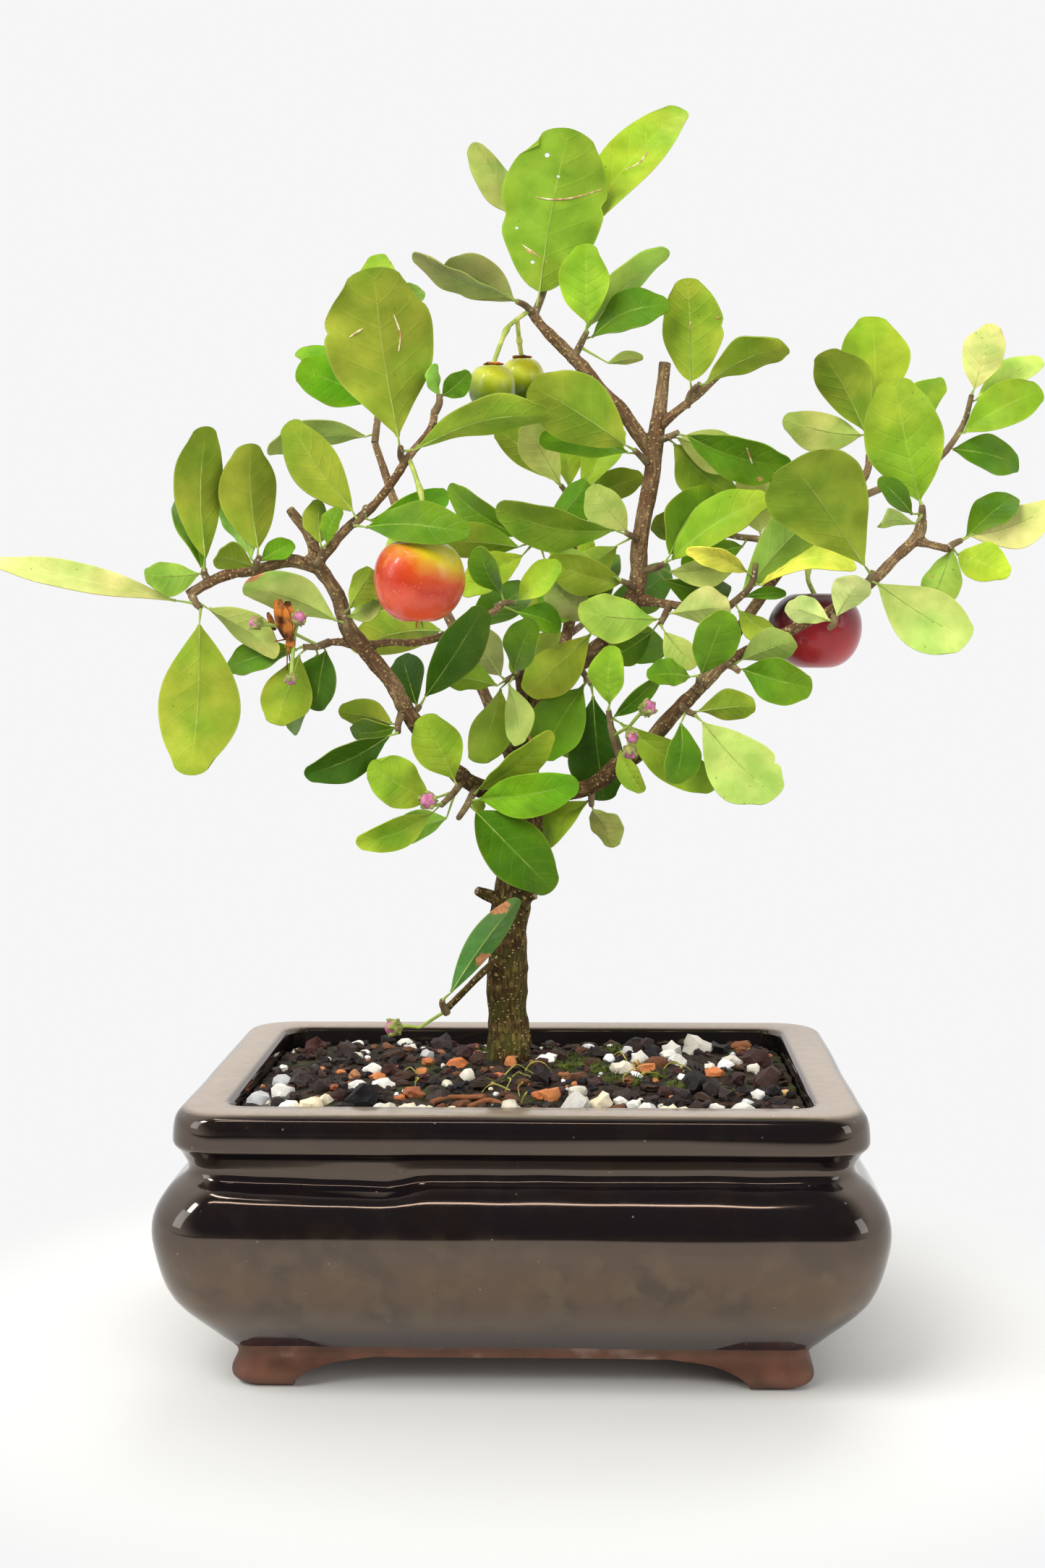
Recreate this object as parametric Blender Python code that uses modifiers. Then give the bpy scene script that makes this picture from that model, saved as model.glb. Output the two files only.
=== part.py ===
"""A barbados cherry grown as a bonsai, in a glazed pot with four corner feet.

The pot is 145 mm over its rim and 60.5 mm high. The tree is laid out as it is seen from
the front: limbs, leafy shoots and fruit are drawn on the upright plane through the trunk,
and each point is then slid along its line of sight to its own depth. Every leafy shoot is
one solid, a twig with its leaves fused on. A shoot starts a third of a millimetre from the
limb that carries it, and a leaf that would touch another shoot swings clear.
"""

import math
import random

import bmesh
import bpy
from mathutils import Matrix, Vector
from mathutils.bvhtree import BVHTree

MM = 0.001
GAP = 0.3

# The pot, in millimetres. Each profile row is the half width along X and the height.
RIM_HALF = (72.5, 57.0)
RIM_CORNER = 11.0
SHARPEST_CORNER = 4.0
CORNER_STEPS = 3
POT_OUTSIDE = (
    (59.5, 0.0), (61.6, 1.6), (61.9, 4.0), (60.4, 8.4), (63.4, 11.6), (72.6, 20.4),
    (76.8, 31.0), (76.4, 38.0), (73.4, 43.6), (69.6, 47.4), (70.8, 51.0), (72.3, 52.6),
    (72.5, 57.8), (70.6, 60.5),
)
POT_INSIDE = ((61.8, 60.5), (61.0, 59.6), (61.4, 50.0), (66.0, 34.0), (58.0, 15.0))
FOOT_ARCH = ((48.5, -1.0), (47.0, 2.4), (41.0, 5.2), (31.0, 6.7))
FOOT_HALF = (49.0, 33.5)
UNDERSIDE = 6.7
DRAIN_HOLES = ((-28.0, 0.0), (28.0, 0.0))
DRAIN_RADIUS = 7.0
DRAIN_SIDES = 12
CUTTER_SPARE = 10.0
HOLLOW_HALF_HEIGHT = 5.0

# The soil and the stones set in its top.
SOIL_CENTRE, SOIL_FRONT, SOIL_BACK = 60.2, 58.6, 56.2
SOIL_HALF = (60, 45)
SOIL_GAP = GAP + 0.1
SOIL_RIM, SOIL_CORNER = 59, 5.7
SOIL_SHARES = (1.0, 0.86, 0.62, 0.36, 0.12)
STONES = 26
STONE_FIELD = (56, 41)
STONE_RADIUS = (2.0, 4.2)
STONE_WIDTH, STONE_HEIGHT = (0.6, 0.9), (0.5, 0.75)
STONE_TILT = 0.3
STONE_RISE = 0.1
TRUNK_HOLE = 5.6
TRUNK_HOLE_SIDES, TRUNK_HOLE_LENGTH, TRUNK_HOLE_BELOW = 16, 40, 0.5
BARE_ROUND_TRUNK = 5
TRUNK_FOOT = 42.0

# The trunk's foot from the pot's centre, and the eye from the trunk's foot.
TRUNK = Vector((-4.2, 12.0, 0.0))
EYE = Vector((20.1, -503.1, 157.3))

# Limbs as (right, up, depth, radius) in millimetres from the trunk's foot, as seen.
LIMBS = {
    "left_limb": (
        (2, 119, 0, 2.6), (-7, 123, -5, 2.1), (-13, 127, -9, 2), (-19, 134, -13, 1.9),
        (-24, 141, -16, 1.9), (-27, 147, -18, 1.8), (-31, 152, -20, 1.8),
        (-35, 157, -22, 1.8), (-38, 161, -23, 1.8), (-40, 168, -25, 1.7),
        (-44, 174, -26, 1.7), (-47, 177, -26, 1.9),
    ),
    "left_branch": (
        (-44, 174, -26, 1.6), (-51, 176, -27, 1.4), (-58, 174, -28, 1.3),
        (-65, 173, -29, 1.2), (-70, 171, -30, 1.2), (-75, 168, -31, 1.2),
    ),
    "left_stub": ((-45, 175, -26, 1.5), (-46, 181, -25, 1.3), (-51, 188, -24, 1.1)),
    "cherry_branch": (
        (-45, 175, -26, 1.4), (-38, 183, -27, 1.15), (-32, 188, -28, 1.05),
        (-27, 194, -29, 1), (-23, 200, -30, 0.95), (-18, 206, -30, 0.85),
        (-17, 211, -30, 0.8),
    ),
    "cross_twig": (
        (-34, 156, -21, 1.2), (-28, 157, -19, 0.95), (-21, 157, -16, 0.95),
        (-11, 160, -11, 0.9), (-2, 165, -6, 0.8),
    ),
    "cross_stub": ((-34, 156, -21, 1.2), (-39, 157, -22, 0.95), (-42, 157, -23, 0.9)),
    "leader": (
        (3, 125, 0, 2.4), (2, 131, 0, 1.6), (2, 138, 1, 1.4), (3, 145, 2, 1.35),
        (2, 151, 2, 1.4),
    ),
    "main_limb": (
        (3, 124, 1, 3.4), (4, 136, 4, 2.9), (5, 141, 5, 2.7), (7, 147, 6, 2.6),
        (13, 151, 6, 2.5), (19, 154, 6, 2.5), (24, 158, 6, 2.5), (28, 165, 6, 2.3),
        (30, 172, 5, 2.1), (30, 178, 5, 2), (31, 185, 5, 2), (33, 195, 5, 1.95),
        (34, 205, 4, 1.9), (35, 212, 4, 1.6), (36, 221, 4, 1.4),
    ),
    "top_side_branch": (
        (34, 206, 4, 1.6), (39, 210, 2, 1), (44, 214, 0, 1), (49, 219, -2, 1),
        (54, 225, -4, 1),
    ),
    "top_leader": (
        (33, 200, 5, 1.8), (26, 210, 6, 1.7), (21, 215, 6, 1.6), (17, 220, 6, 1.6),
        (14, 223, 6, 1.5), (8, 229, 5, 1.25), (5, 233, 5, 1.1),
    ),
    "pink_branch": (
        (29, 167, 6, 1.9), (34, 166, 3, 1.1), (40, 165, 0, 1.05), (47, 163, -2, 1.05),
        (53, 159, -4, 1),
    ),
    "right_limb": (
        (3, 123, 0, 2.6), (8, 122, -4, 2.2), (18, 123, -9, 2.1), (25, 128, -12, 2),
        (31, 132, -14, 1.9), (38, 140, -16, 1.7), (44, 146, -17, 1.6),
        (50, 152, -18, 1.4), (58, 156, -19, 1.3), (66, 160, -20, 1.2),
        (74, 164, -20, 1.2), (82, 169, -20, 1.2), (89, 176, -20, 1.2),
        (94, 181, -20, 1.3), (95, 185, -20, 1.3),
    ),
    "right_side_stub": ((93, 180, -20, 1.2), (97, 179, -20, 0.9), (101, 178, -20, 0.85)),
    "back_right_branch": (
        (44, 146, -17, 1.5), (48, 152, -10, 1.4), (52, 158, -5, 1.4), (56, 164, -1, 1.3),
        (64, 175, 5, 1.1), (69, 180, 10, 1), (76, 188, 18, 1), (82, 195, 26, 1),
        (83, 201, 30, 0.9),
    ),
    "back_left_branch": (
        (3, 122, 2, 2), (-2, 136, 12, 1.5), (-10, 154, 22, 1.3), (-19, 173, 31, 1.2),
        (-26, 188, 36, 1.1), (-29, 197, 38, 1), (-31, 203, 39, 0.9),
    ),
    "back_branch": (
        (3, 121, 2, 2.4), (7, 136, 16, 1.9), (11, 150, 30, 1.7), (14, 162, 41, 1.4),
        (15, 175, 48, 1.2), (14, 187, 52, 1),
    ),
    "low_twig": ((-1, 83, 0, 1.6), (-5, 81, -5, 0.95), (-11, 75, -9, 0.85), (-16, 70, -11, 0.8)),
    "trunk_stub_left": ((-3, 97, -2, 1.6), (-8, 99, -5, 1.1)),
    "trunk_stub_right": ((2, 97, 0, 1.6), (6, 98, -2, 1.2)),
}
TRUNK_POINTS = (
    (0, TRUNK_FOOT, 0, 5.2), (0, 59, 0, 5.2), (0, 64, 0, 5.3), (0, 72, 0, 5.0),
    (0, 82, 0, 4.8), (0, 91, 0, 4.7), (1, 100, 0, 4.7), (3, 113, 0, 4.6), (3, 126, 1, 3.9),
)

# Leafy shoots. Each is the twig's route as (right, up, depth) and its leaves, and a leaf is
# its base and tip as (right, up, right, up), how far the tip leans away, its width as seen,
# its turn about the midrib in degrees and its colour.
SHOOTS = {
    "top": (
        ((6, 232, 5), (8, 237, 11), (10, 244, 15), (11, 251, 17)),
        (
            (8, 229, 14, 274, -10, 25, 0, "olive"),
            (15, 242, 40, 278, 6, 12, 25, "lime"),
            (8, 252, -8, 271, 5, 8, 40, "pale"),
        ),
    ),
    "top_left": (
        ((6, 232, 5), (4, 234, 3), (2, 235, 1)),
        ((3, 234, -15, 243, -4, 10, 30, "olive"), (2, 234, -22, 246, 8, 5, 50, "dark")),
    ),
    "top_right": (
        ((15, 222, 6), (17, 226, 4), (18, 228, 2)),
        (
            (16, 229, 18, 248, -6, 13, 20, "dark"),
            (18, 229, 37, 246, 4, 7, 50, "mint"),
            (18, 227, 37, 234, -8, 9, 30, "dark"),
            (23, 221, 31, 222, 0, 3, 30, "pale"),
        ),
    ),
    "upper_right": (
        ((41, 211, 2), (42, 214, -1), (44, 216, -3)),
        ((41, 212, 41, 240, -4, 14, 20, "olive"), (45, 214, 64, 224, 14, 8, 40, "olive")),
    ),
    "cherry_big": (
        ((-24, 198, -29), (-25, 200, -31), (-25, 202, -33)),
        ((-25, 200, -31, 243, -6, 24, 10, "olive"), (-21, 197, 10, 209, 6, 8, 40, "olive")),
    ),
    "cherry_end": (
        ((-17, 210, -30), (-16, 212, -31), (-16, 214, -31)),
        ((-16, 213, -17, 221, 4, 4, 50, "mint"), (-16, 213, -9, 219, -3, 7, 10, "dark")),
    ),
    "cherry_mid": (
        ((-33, 188, -28), (-34, 186, -31), (-36, 184, -33)),
        (
            (-35, 185, -51, 208, -3, 13, 25, "olive"),
            (-37, 182, -9, 182, -8, 9, 25, "dark"),
            (-32, 185, -14, 191, 4, 7, 20, "lime"),
        ),
    ),
    "back_left": (
        ((-31, 203, 39), (-30, 212, 42), (-30, 222, 44), (-29, 228, 45)),
        (
            (-30, 229, -30, 246, 3, 10, 20, "lime"),
            (-27, 233, -20, 238, 6, 6, 20, "lime"),
            (-31, 212, -49, 220, -6, 13, 20, "dark"),
            (-32, 215, -49, 224, 6, 7, 30, "lime"),
            (-31, 205, -56, 201, -8, 7, 40, "pale"),
        ),
    ),
    "fork_left": (
        ((32, 198, 5), (31, 199, 1), (29, 201, -2)),
        ((30, 202, 5, 216, -6, 16, 15, "olive"), (29, 203, 7, 203, 12, 9, 30, "pale")),
    ),
    "fork_right": (
        ((34, 203, 4), (37, 204, 0), (39, 205, -2)),
        (
            (38, 206, 65, 197, -8, 10, 35, "dark"),
            (38, 202, 55, 199, 6, 10, 20, "pale"),
            (41, 204, 52, 190, 8, 11, 20, "olive"),
        ),
    ),
    "stem_left": (
        ((30, 180, 5), (29, 181, 2), (27, 182, -1)),
        (
            (27, 181, -3, 188, -6, 10, 35, "lime"),
            (28, 183, 19, 193, 5, 9, 20, "pale"),
            (25, 179, 12, 171, 6, 9, 30, "olive"),
        ),
    ),
    "stem_low_left": (
        ((29, 169, 6), (28, 170, 2), (26, 171, -1)),
        ((28, 169, 9, 176, -5, 9, 25, "lime"), (26, 173, 11, 179, 6, 5, 30, "mint")),
    ),
    "stem_low_right": (
        ((30, 173, 5), (34, 174, 1), (36, 175, -2)),
        (
            (34, 177, 60, 190, -8, 10, 30, "dark"),
            (37, 177, 47, 192, 6, 10, 30, "olive"),
            (37, 173, 52, 175, -3, 7, 30, "pale"),
            (36, 171, 51, 168, 2, 8, 30, "dark"),
        ),
    ),
    "pink_left": (
        ((37, 165, 1), (36, 163, -4), (35, 161, -6)),
        (
            (34, 162, 16, 164, -8, 11, 20, "mint"),
            (38, 161, 51, 165, -6, 9, 20, "pale"),
            (36, 159, 43, 151, -3, 8, 20, "pale"),
            (33, 159, 23, 153, 2, 8, 20, "dark"),
        ),
    ),
    "young": (
        ((48, 163, -2), (52, 166, -5), (56, 170, -8), (57, 175, -9)),
        (
            (50, 167, 80, 195, -24, 12, 15, "mint"),
            (57, 172, 41, 178, -6, 4, 30, "yellow"),
            (58, 170, 80, 174, -8, 4, 30, "yellow"),
            (55, 166, 64, 168, 2, 3, 30, "dark"),
            (53, 164, 61, 158, -4, 6, 30, "olive"),
        ),
    ),
    "mid_back_high": (
        ((14, 186, 52), (14, 190, 50), (12, 193, 48)),
        (
            (2, 188, -3, 206, 4, 9, 20, "olive"),
            (9, 190, 4, 207, -4, 10, 10, "pale"),
            (14, 193, 11, 207, 6, 9, 20, "lime"),
            (17, 192, 26, 206, 2, 9, 25, "lime"),
            (17, 189, 31, 195, -4, 8, 20, "olive"),
        ),
    ),
    "mid_back_low": (
        ((15, 177, 49), (10, 179, 42), (4, 180, 36)),
        (
            (4, 183, -14, 193, 6, 8, 30, "dark"),
            (9, 183, 18, 194, -4, 9, 30, "pale"),
            (2, 179, -16, 180, -8, 9, 20, "olive"),
            (3, 177, -11, 168, -4, 9, 20, "lime"),
            (8, 176, 14, 162, -8, 9, 30, "dark"),
        ),
    ),
    "cross_end": (
        ((-3, 165, -6), (-1, 166, -5), (1, 166, -4)),
        (
            (2, 167, 12, 175, -6, 7, 30, "lime"),
            (-2, 168, -7, 179, -5, 7, 40, "dark"),
            (2, 164, 12, 160, 3, 8, 30, "dark"),
        ),
    ),
    "left_upper": (
        ((-39, 165, -24), (-38, 162, -28), (-38, 160, -31)),
        (
            (-39, 160, -62, 170, -5, 9, 30, "pale"),
            (-37, 165, -32, 174, 5, 9, 20, "olive"),
            (-37, 163, -30, 166, -4, 5, 30, "pale"),
        ),
    ),
    "left_elbow": (
        ((-24, 140, -16), (-22, 141, -13), (-21, 142, -11)),
        ((-20, 142, -6, 165, -6, 10, 20, "dark"), (-22, 142, -25, 154, 8, 10, 20, "dark")),
    ),
    "left_fork": (
        ((-45, 175, -26), (-44, 176, -31), (-43, 179, -33)),
        ((-43, 180, -39, 188, -4, 4, 45, "dark"), (-44, 180, -44, 190, 6, 6, 30, "olive")),
    ),
    "left_end_up": (
        ((-70, 171, -30), (-71, 173, -31), (-71, 174, -32)),
        (
            (-71, 174, -70, 207, -6, 12, 20, "olive"),
            (-72, 172, -85, 173, -6, 9, 25, "mint"),
            (-70, 173, -76, 190, 10, 8, 30, "dark"),
        ),
    ),
    "left_end_down": (
        ((-74, 168, -31), (-73, 166, -33), (-72, 165, -34)),
        (
            (-74, 165, -121, 176, 4, 10, 30, "lime"),
            (-71, 164, -75, 126, -6, 19, 10, "olive"),
            (-70, 165, -54, 154, -4, 7, 30, "pale"),
        ),
    ),
    "left_mid": (
        ((-59, 174, -28), (-59, 175, -30), (-58, 177, -31)),
        (
            (-58, 176, -60, 203, -4, 14, 20, "olive"),
            (-60, 176, -68, 189, 6, 6, 50, "mint"),
            (-60, 174, -68, 177, -6, 7, 25, "olive"),
            (-57, 175, -50, 180, 4, 6, 30, "dark"),
        ),
    ),
    "cross_left": (
        ((-42, 157, -23), (-45, 156, -26), (-48, 156, -28)),
        (
            (-49, 156, -66, 151, 4, 7, 30, "dark"),
            (-49, 154, -55, 138, -6, 14, 10, "pale"),
            (-43, 155, -45, 141, -3, 13, 25, "dark"),
            (-45, 154, -51, 136, 10, 7, 40, "dark"),
        ),
    ),
    "left_low": (
        ((-25, 141, -16), (-26, 138, -19), (-26, 136, -21)),
        (
            (-26, 135, -48, 126, -8, 8, 30, "dark"),
            (-26, 133, -37, 136, 6, 7, 30, "dark"),
            (-27, 137, -40, 141, 8, 7, 20, "olive"),
        ),
    ),
    "front_lime": (
        ((-11, 125, -7), (-13, 122, -16), (-16, 119, -25)),
        (
            (-15, 122, -20, 140, -5, 13, 10, "lime"),
            (-19, 120, -33, 128, -4, 11, 15, "lime"),
            (-18, 117, -36, 110, -8, 7, 30, "lime"),
            (-15, 116, -27, 111, -3, 7, 30, "mint"),
        ),
    ),
    "front_low": (
        ((-8, 123, -6), (-10, 119, -16), (-12, 116, -23)),
        (
            (-10, 119, 10, 136, -4, 7, 40, "lime"),
            (-11, 115, 16, 124, -9, 10, 20, "lime"),
            (-12, 114, 10, 99, -6, 14, 15, "dark"),
            (-11, 116, -6, 118, 4, 4, 20, "lime"),
        ),
    ),
    "trunk_low": (
        ((-15, 70, -11), (-16, 72, -13), (-16, 73, -14)),
        ((-14, 75, 2, 97, -4, 9, 20, "mint"),),
    ),
    "hanging": (
        ((19, 123, -10), (19, 121, -7), (19, 119, -4)),
        ((18, 120, 5, 109, 6, 8, 30, "lime"), (20, 119, 24, 109, 8, 7, 30, "pale")),
    ),
    "leader": (
        ((2, 150, 2), (1, 149, -1), (-1, 148, -3)),
        (
            (-2, 149, -11, 160, 4, 9, 25, "olive"),
            (-3, 147, -16, 149, -5, 7, 30, "olive"),
            (-2, 146, -8, 129, -4, 10, 30, "olive"),
            (0, 147, 2, 133, 6, 7, 30, "pale"),
            (1, 150, 6, 162, 5, 8, 30, "dark"),
        ),
    ),
    "main_left": (
        ((23, 157, 6), (21, 159, 1), (20, 161, -2)),
        (
            (20, 160, 4, 145, -8, 11, 20, "olive"),
            (19, 162, 9, 171, 4, 8, 30, "olive"),
            (21, 163, 24, 177, 4, 8, 30, "dark"),
        ),
    ),
    "main_low": (
        ((15, 152, 6), (17, 150, 1), (19, 147, -3)),
        (
            (18, 148, 7, 130, -5, 15, 10, "dark"),
            (19, 146, 22, 120, -8, 13, 15, "dark"),
            (16, 148, 14, 130, 8, 7, 40, "pale"),
        ),
    ),
    "bud_shoot": (
        ((26, 129, -12), (24, 135, -15), (23, 141, -17)),
        (
            (25, 140, 48, 123, -8, 9, 15, "lime"),
            (23, 142, 24, 156, -4, 8, 20, "lime"),
            (25, 133, 31, 122, 6, 5, 30, "yellow"),
            (24, 142, 35, 149, -6, 4, 30, "dark"),
        ),
    ),
    "right_inner": (
        ((40, 142, -17), (41, 141, -20), (43, 140, -22)),
        (
            (43, 139, 62, 121, -8, 15, 15, "pale"),
            (44, 141, 57, 142, -3, 7, 30, "olive"),
            (40, 138, 38, 124, 3, 8, 30, "dark"),
        ),
    ),
    "right_fold": (
        ((44, 146, -17), (44, 148, -20), (44, 149, -21)),
        ((44, 148, 50, 164, -6, 13, 20, "dark"), (42, 149, 32, 149, -6, 6, 30, "dark")),
    ),
    "right_elbow": (
        ((50, 152, -18), (52, 151, -21), (53, 150, -23)),
        ((53, 151, 70, 146, -8, 10, 20, "dark"), (54, 153, 66, 157, -6, 8, 30, "pale")),
    ),
    "right_big": (
        ((82, 170, -20), (83, 171, -22), (84, 173, -23)),
        ((84, 172, 65, 198, 6, 22, 10, "olive"), (85, 170, 106, 157, -5, 14, 15, "pale")),
    ),
    "right_twist": (
        ((75, 163, -20), (75, 161, -23), (74, 160, -25)),
        ((75, 161, 64, 165, -4, 5, 20, "pale"), (75, 162, 82, 171, -5, 6, 30, "mint")),
    ),
    "right_end": (
        ((95, 185, -20), (95, 187, -21), (95, 188, -21)),
        (
            (96, 186, 88, 217, -5, 17, 10, "lime"),
            (93, 188, 84, 212, 8, 9, 40, "mint"),
            (93, 186, 85, 194, -6, 5, 30, "dark"),
            (93, 184, 86, 184, -3, 4, 30, "pale"),
        ),
    ),
    "right_side": (
        ((101, 178, -20), (102, 179, -19), (104, 180, -18)),
        (
            (104, 180, 126, 189, 6, 9, 30, "pale"),
            (103, 177, 115, 172, -8, 10, 20, "lime"),
            (100, 176, 97, 165, -8, 12, 20, "mint"),
            (105, 182, 116, 190, 12, 8, 30, "dark"),
        ),
    ),
    "back_right": (
        ((83, 201, 30), (83, 204, 31), (84, 208, 31)),
        (
            (81, 203, 72, 223, -5, 13, 20, "olive"),
            (81, 204, 63, 208, 6, 10, 20, "pale"),
            (84, 207, 83, 231, -4, 19, 10, "lime"),
            (85, 206, 100, 216, 5, 9, 30, "lime"),
        ),
    ),
    "far_right": (
        ((76, 188, 18), (88, 193, 26), (98, 198, 30), (104, 206, 33), (106, 213, 34)),
        (
            (103, 203, 122, 214, -4, 11, 20, "lime"),
            (106, 211, 122, 221, 4, 7, 30, "yellow"),
            (106, 214, 111, 229, -4, 11, 20, "yellow"),
            (101, 201, 117, 197, 8, 9, 30, "dark"),
        ),
    ),
    "fill_right": (
        ((64, 176, 4), (59, 180, 12), (53, 181, 16), (48, 182, 18)),
        (
            (58, 182, 54, 196, 5, 10, 20, "pale"),
            (54, 179, 40, 174, -5, 8, 20, "dark"),
            (48, 183, 45, 194, 4, 8, 20, "yellow"),
            (46, 181, 33, 184, -4, 8, 20, "olive"),
            (61, 182, 70, 193, 5, 9, 20, "yellow"),
        ),
    ),
}
# Shoots at the back, which the front hides: the route and how many leaves follow the rule.
BACK_SHOOTS = {
    "rear_left": (((-10, 154, 22), (-13, 160, 36), (-16, 168, 48), (-18, 176, 58)), 5),
    "rear_middle": (((13, 158, 38), (18, 162, 50), (22, 168, 60), (24, 176, 68)), 5),
}
BACK_LEAF_LENGTH = (21, 27)
BACK_LEAF_TONES = ("dark", "olive", "lime")
BACK_LEAF_START, BACK_LEAF_SPAN = 0.35, 0.65
BACK_LEAF_TURN, BACK_LEAF_STRAY = 25, 15
BACK_LEAF_STALK, BACK_LEAF_FLATTER = 3, 0.8
BACK_LEAF_LEAN, BACK_LEAF_WIDTH = (8, 20), 0.46

TWIG_RADIUS = (0.95, 0.65)
THIN_LIMB = 1.45
SEARCH_STEP, SEARCH_STEPS = 0.05, 400
SEARCH_MARGIN = 0.02
ROUTE_SPACING = 0.3
STATION_SPACING = 0.1
SAME_POINT = 0.02
PETIOLE_HALF = 0.45
STALK_SPACING = 1.2
STALK_ZONE = 3.0
SHORTEST_STALK = 1.6
STALK_BEND = math.radians(50)
STALK_SHARE = 0.1
BLADE_THICKNESS = 0.7
FOLD, ARCH, WAVE = (0.12, 0.3), (0.05, 0.12), (-0.06, 0.1)
WIDEST_SHARE = 0.34
# Where a blade has its rows of points, by its width: a wide one has more.
BLADE_ROWS = ((17, (0.14, 0.34, 0.6, 0.85)), (8, (0.2, 0.52, 0.83)), (0, (0.32, 0.74)))
CLEAR_THICKNESS = 1.5
SWINGS = (0, -3, 3, -6, 6, -9, 9, -12, 12, -16, 16, -20, 20, -25, 25)
BASE_SWING = 0.35

# Fruit as (right, up, depth), the radius across and the half height, and its stalk's route.
FRUITS = {
    "red": (
        (-21.5, 171, -38), 10.2, 9.3,
        ((-23, 199, -30), (-21.5, 195, -33), (-20, 188.5, -37), (-20, 181, -38)),
    ),
    "dark": (
        (70.5, 159.5, 3), 11.2, 9.3,
        ((67, 178, 8), (69, 175, 5), (69, 171, 3), (69.5, 168.5, 3)),
    ),
    "green_left": ((-4, 214.5, -3), 5.6, 5.6, ()),
    "green_right": ((3, 216.5, 8), 5.3, 5.3, ()),
}
FRUIT_SIDES, FRUIT_RINGS = 12, 8
LOBES, LOBE_DEPTH = 3, 0.035
DIMPLE_FROM, DIMPLE_DEPTH = 0.8, 0.6
FRUIT_RAISED, FRUIT_STEP = 3, 0.1
CALYX_SEPALS, CALYX_RADII, CALYX_HEIGHT, CALYX_RISE = 5, (2.1, 0.6), 1.2, 0.3
STALK_RADIUS = 0.65
PAIR_STALK = ((5, 233, 5), (3.5, 232, 3), (2, 231, 2.5))
PAIR_ENDS = (((-0.5, 228.5, 0), (-3.5, 221, -3)), ((2.5, 226, 6), (3, 222.5, 8)))

# Umbels of pink buds: the stalk's start on its twig, its head, and each bud with its radius.
UMBELS = {
    "left": (
        (-45, 156.5, -26), (-50, 159, -33),
        ((-59, 161.5, -36, 1.4), (-49, 162.5, -37, 1.5), (-51, 148.5, -36, 1.2)),
    ),
    "right": (
        (24, 135, -15), (28, 137.5, -22),
        ((32, 141.5, -25, 1.7), (28.5, 135, -27, 1.4), (28, 131.5, -24, 1.5)),
    ),
    "front": ((-15, 119.5, -23), (-17.5, 119, -28), ((-19, 120, -33, 1.8),)),
    "low": ((-16, 70, -11), (-21.5, 66.5, -13), ((-27.5, 66.5, -14, 1.85),)),
}
PEDICEL_RADIUS = 0.45
BUD_SIDES, BUD_RINGS = 8, 5

COLOURS = {
    "glaze": ((0.012, 0.010, 0.011), 0.12),
    "soil": ((0.035, 0.024, 0.017), 0.95),
    "bark": ((0.15, 0.105, 0.06), 0.8),
    "olive": ((0.20, 0.24, 0.04), 0.5),
    "dark": ((0.03, 0.10, 0.015), 0.35),
    "pale": ((0.40, 0.45, 0.16), 0.5),
    "lime": ((0.26, 0.38, 0.04), 0.45),
    "mint": ((0.30, 0.42, 0.20), 0.5),
    "yellow": ((0.60, 0.62, 0.05), 0.45),
    "red": ((0.75, 0.09, 0.02), 0.22),
    "maroon": ((0.09, 0.012, 0.016), 0.2),
    "green": ((0.22, 0.36, 0.05), 0.35),
    "pink": ((0.80, 0.30, 0.34), 0.5),
}


def clear_scene():
    for obj in list(bpy.data.objects):
        bpy.data.objects.remove(obj, do_unlink=True)


def new_collection(name):
    collection = bpy.data.collections.new(name)
    bpy.context.scene.collection.children.link(collection)
    return collection


def material(name):
    if name in bpy.data.materials:
        return bpy.data.materials[name]
    made = bpy.data.materials.new(name)
    made.use_nodes = True
    shader = made.node_tree.nodes["Principled BSDF"]
    colour, roughness = COLOURS[name]
    shader.inputs["Base Color"].default_value = (*colour, 1.0)
    shader.inputs["Roughness"].default_value = roughness
    return made


def seen(right, up, depth):
    """The point, in metres from the pot's centre, that the eye sees there at that depth."""
    drawn = Vector((right, 0.0, up))
    reach = (depth - EYE.y) / -EYE.y
    return (TRUNK + EYE + (drawn - EYE) * reach) * MM


def rule(*key):
    """A draw that depends on the names and numbers it is given, and on nothing else."""
    return random.Random("/".join(str(k) for k in key))


def object_of(name, mesh, collection, colour):
    obj = bpy.data.objects.new(name, mesh)
    obj.data.materials.clear()
    obj.data.materials.append(material(colour))
    collection.objects.link(obj)
    return obj


def mesh_of(bm, name):
    bmesh.ops.recalc_face_normals(bm, faces=bm.faces)
    mesh = bpy.data.meshes.new(name)
    bm.to_mesh(mesh)
    bm.free()
    return mesh


def baked(obj):
    """Its evaluated mesh, as a mesh of its own."""
    graph = bpy.context.evaluated_depsgraph_get()
    return bpy.data.meshes.new_from_object(obj.evaluated_get(graph), depsgraph=graph)


def apply_modifiers(obj):
    mesh = baked(obj)
    obj.modifiers.clear()
    obj.data = mesh


def tube(name, points, radii, collection, colour, sides=1):
    """A round tube through the points, closed at its ends, as a mesh object."""
    curve = bpy.data.curves.new(name, "CURVE")
    curve.dimensions = "3D"
    curve.bevel_depth = 1.0
    curve.bevel_resolution = sides
    curve.use_fill_caps = True
    spline = curve.splines.new("POLY")
    spline.points.add(len(points) - 1)
    for point, place, radius in zip(spline.points, points, radii):
        point.co = (*place, 1.0)
        point.radius = radius * MM
    guide = bpy.data.objects.new(name, curve)
    collection.objects.link(guide)
    bpy.context.view_layer.update()
    bm = bmesh.new()
    bm.from_mesh(baked(guide))
    bpy.data.objects.remove(guide, do_unlink=True)
    bpy.data.curves.remove(curve)
    bmesh.ops.remove_doubles(bm, verts=bm.verts, dist=SAME_POINT * MM)
    return object_of(name, mesh_of(bm, name), collection, colour)


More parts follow.
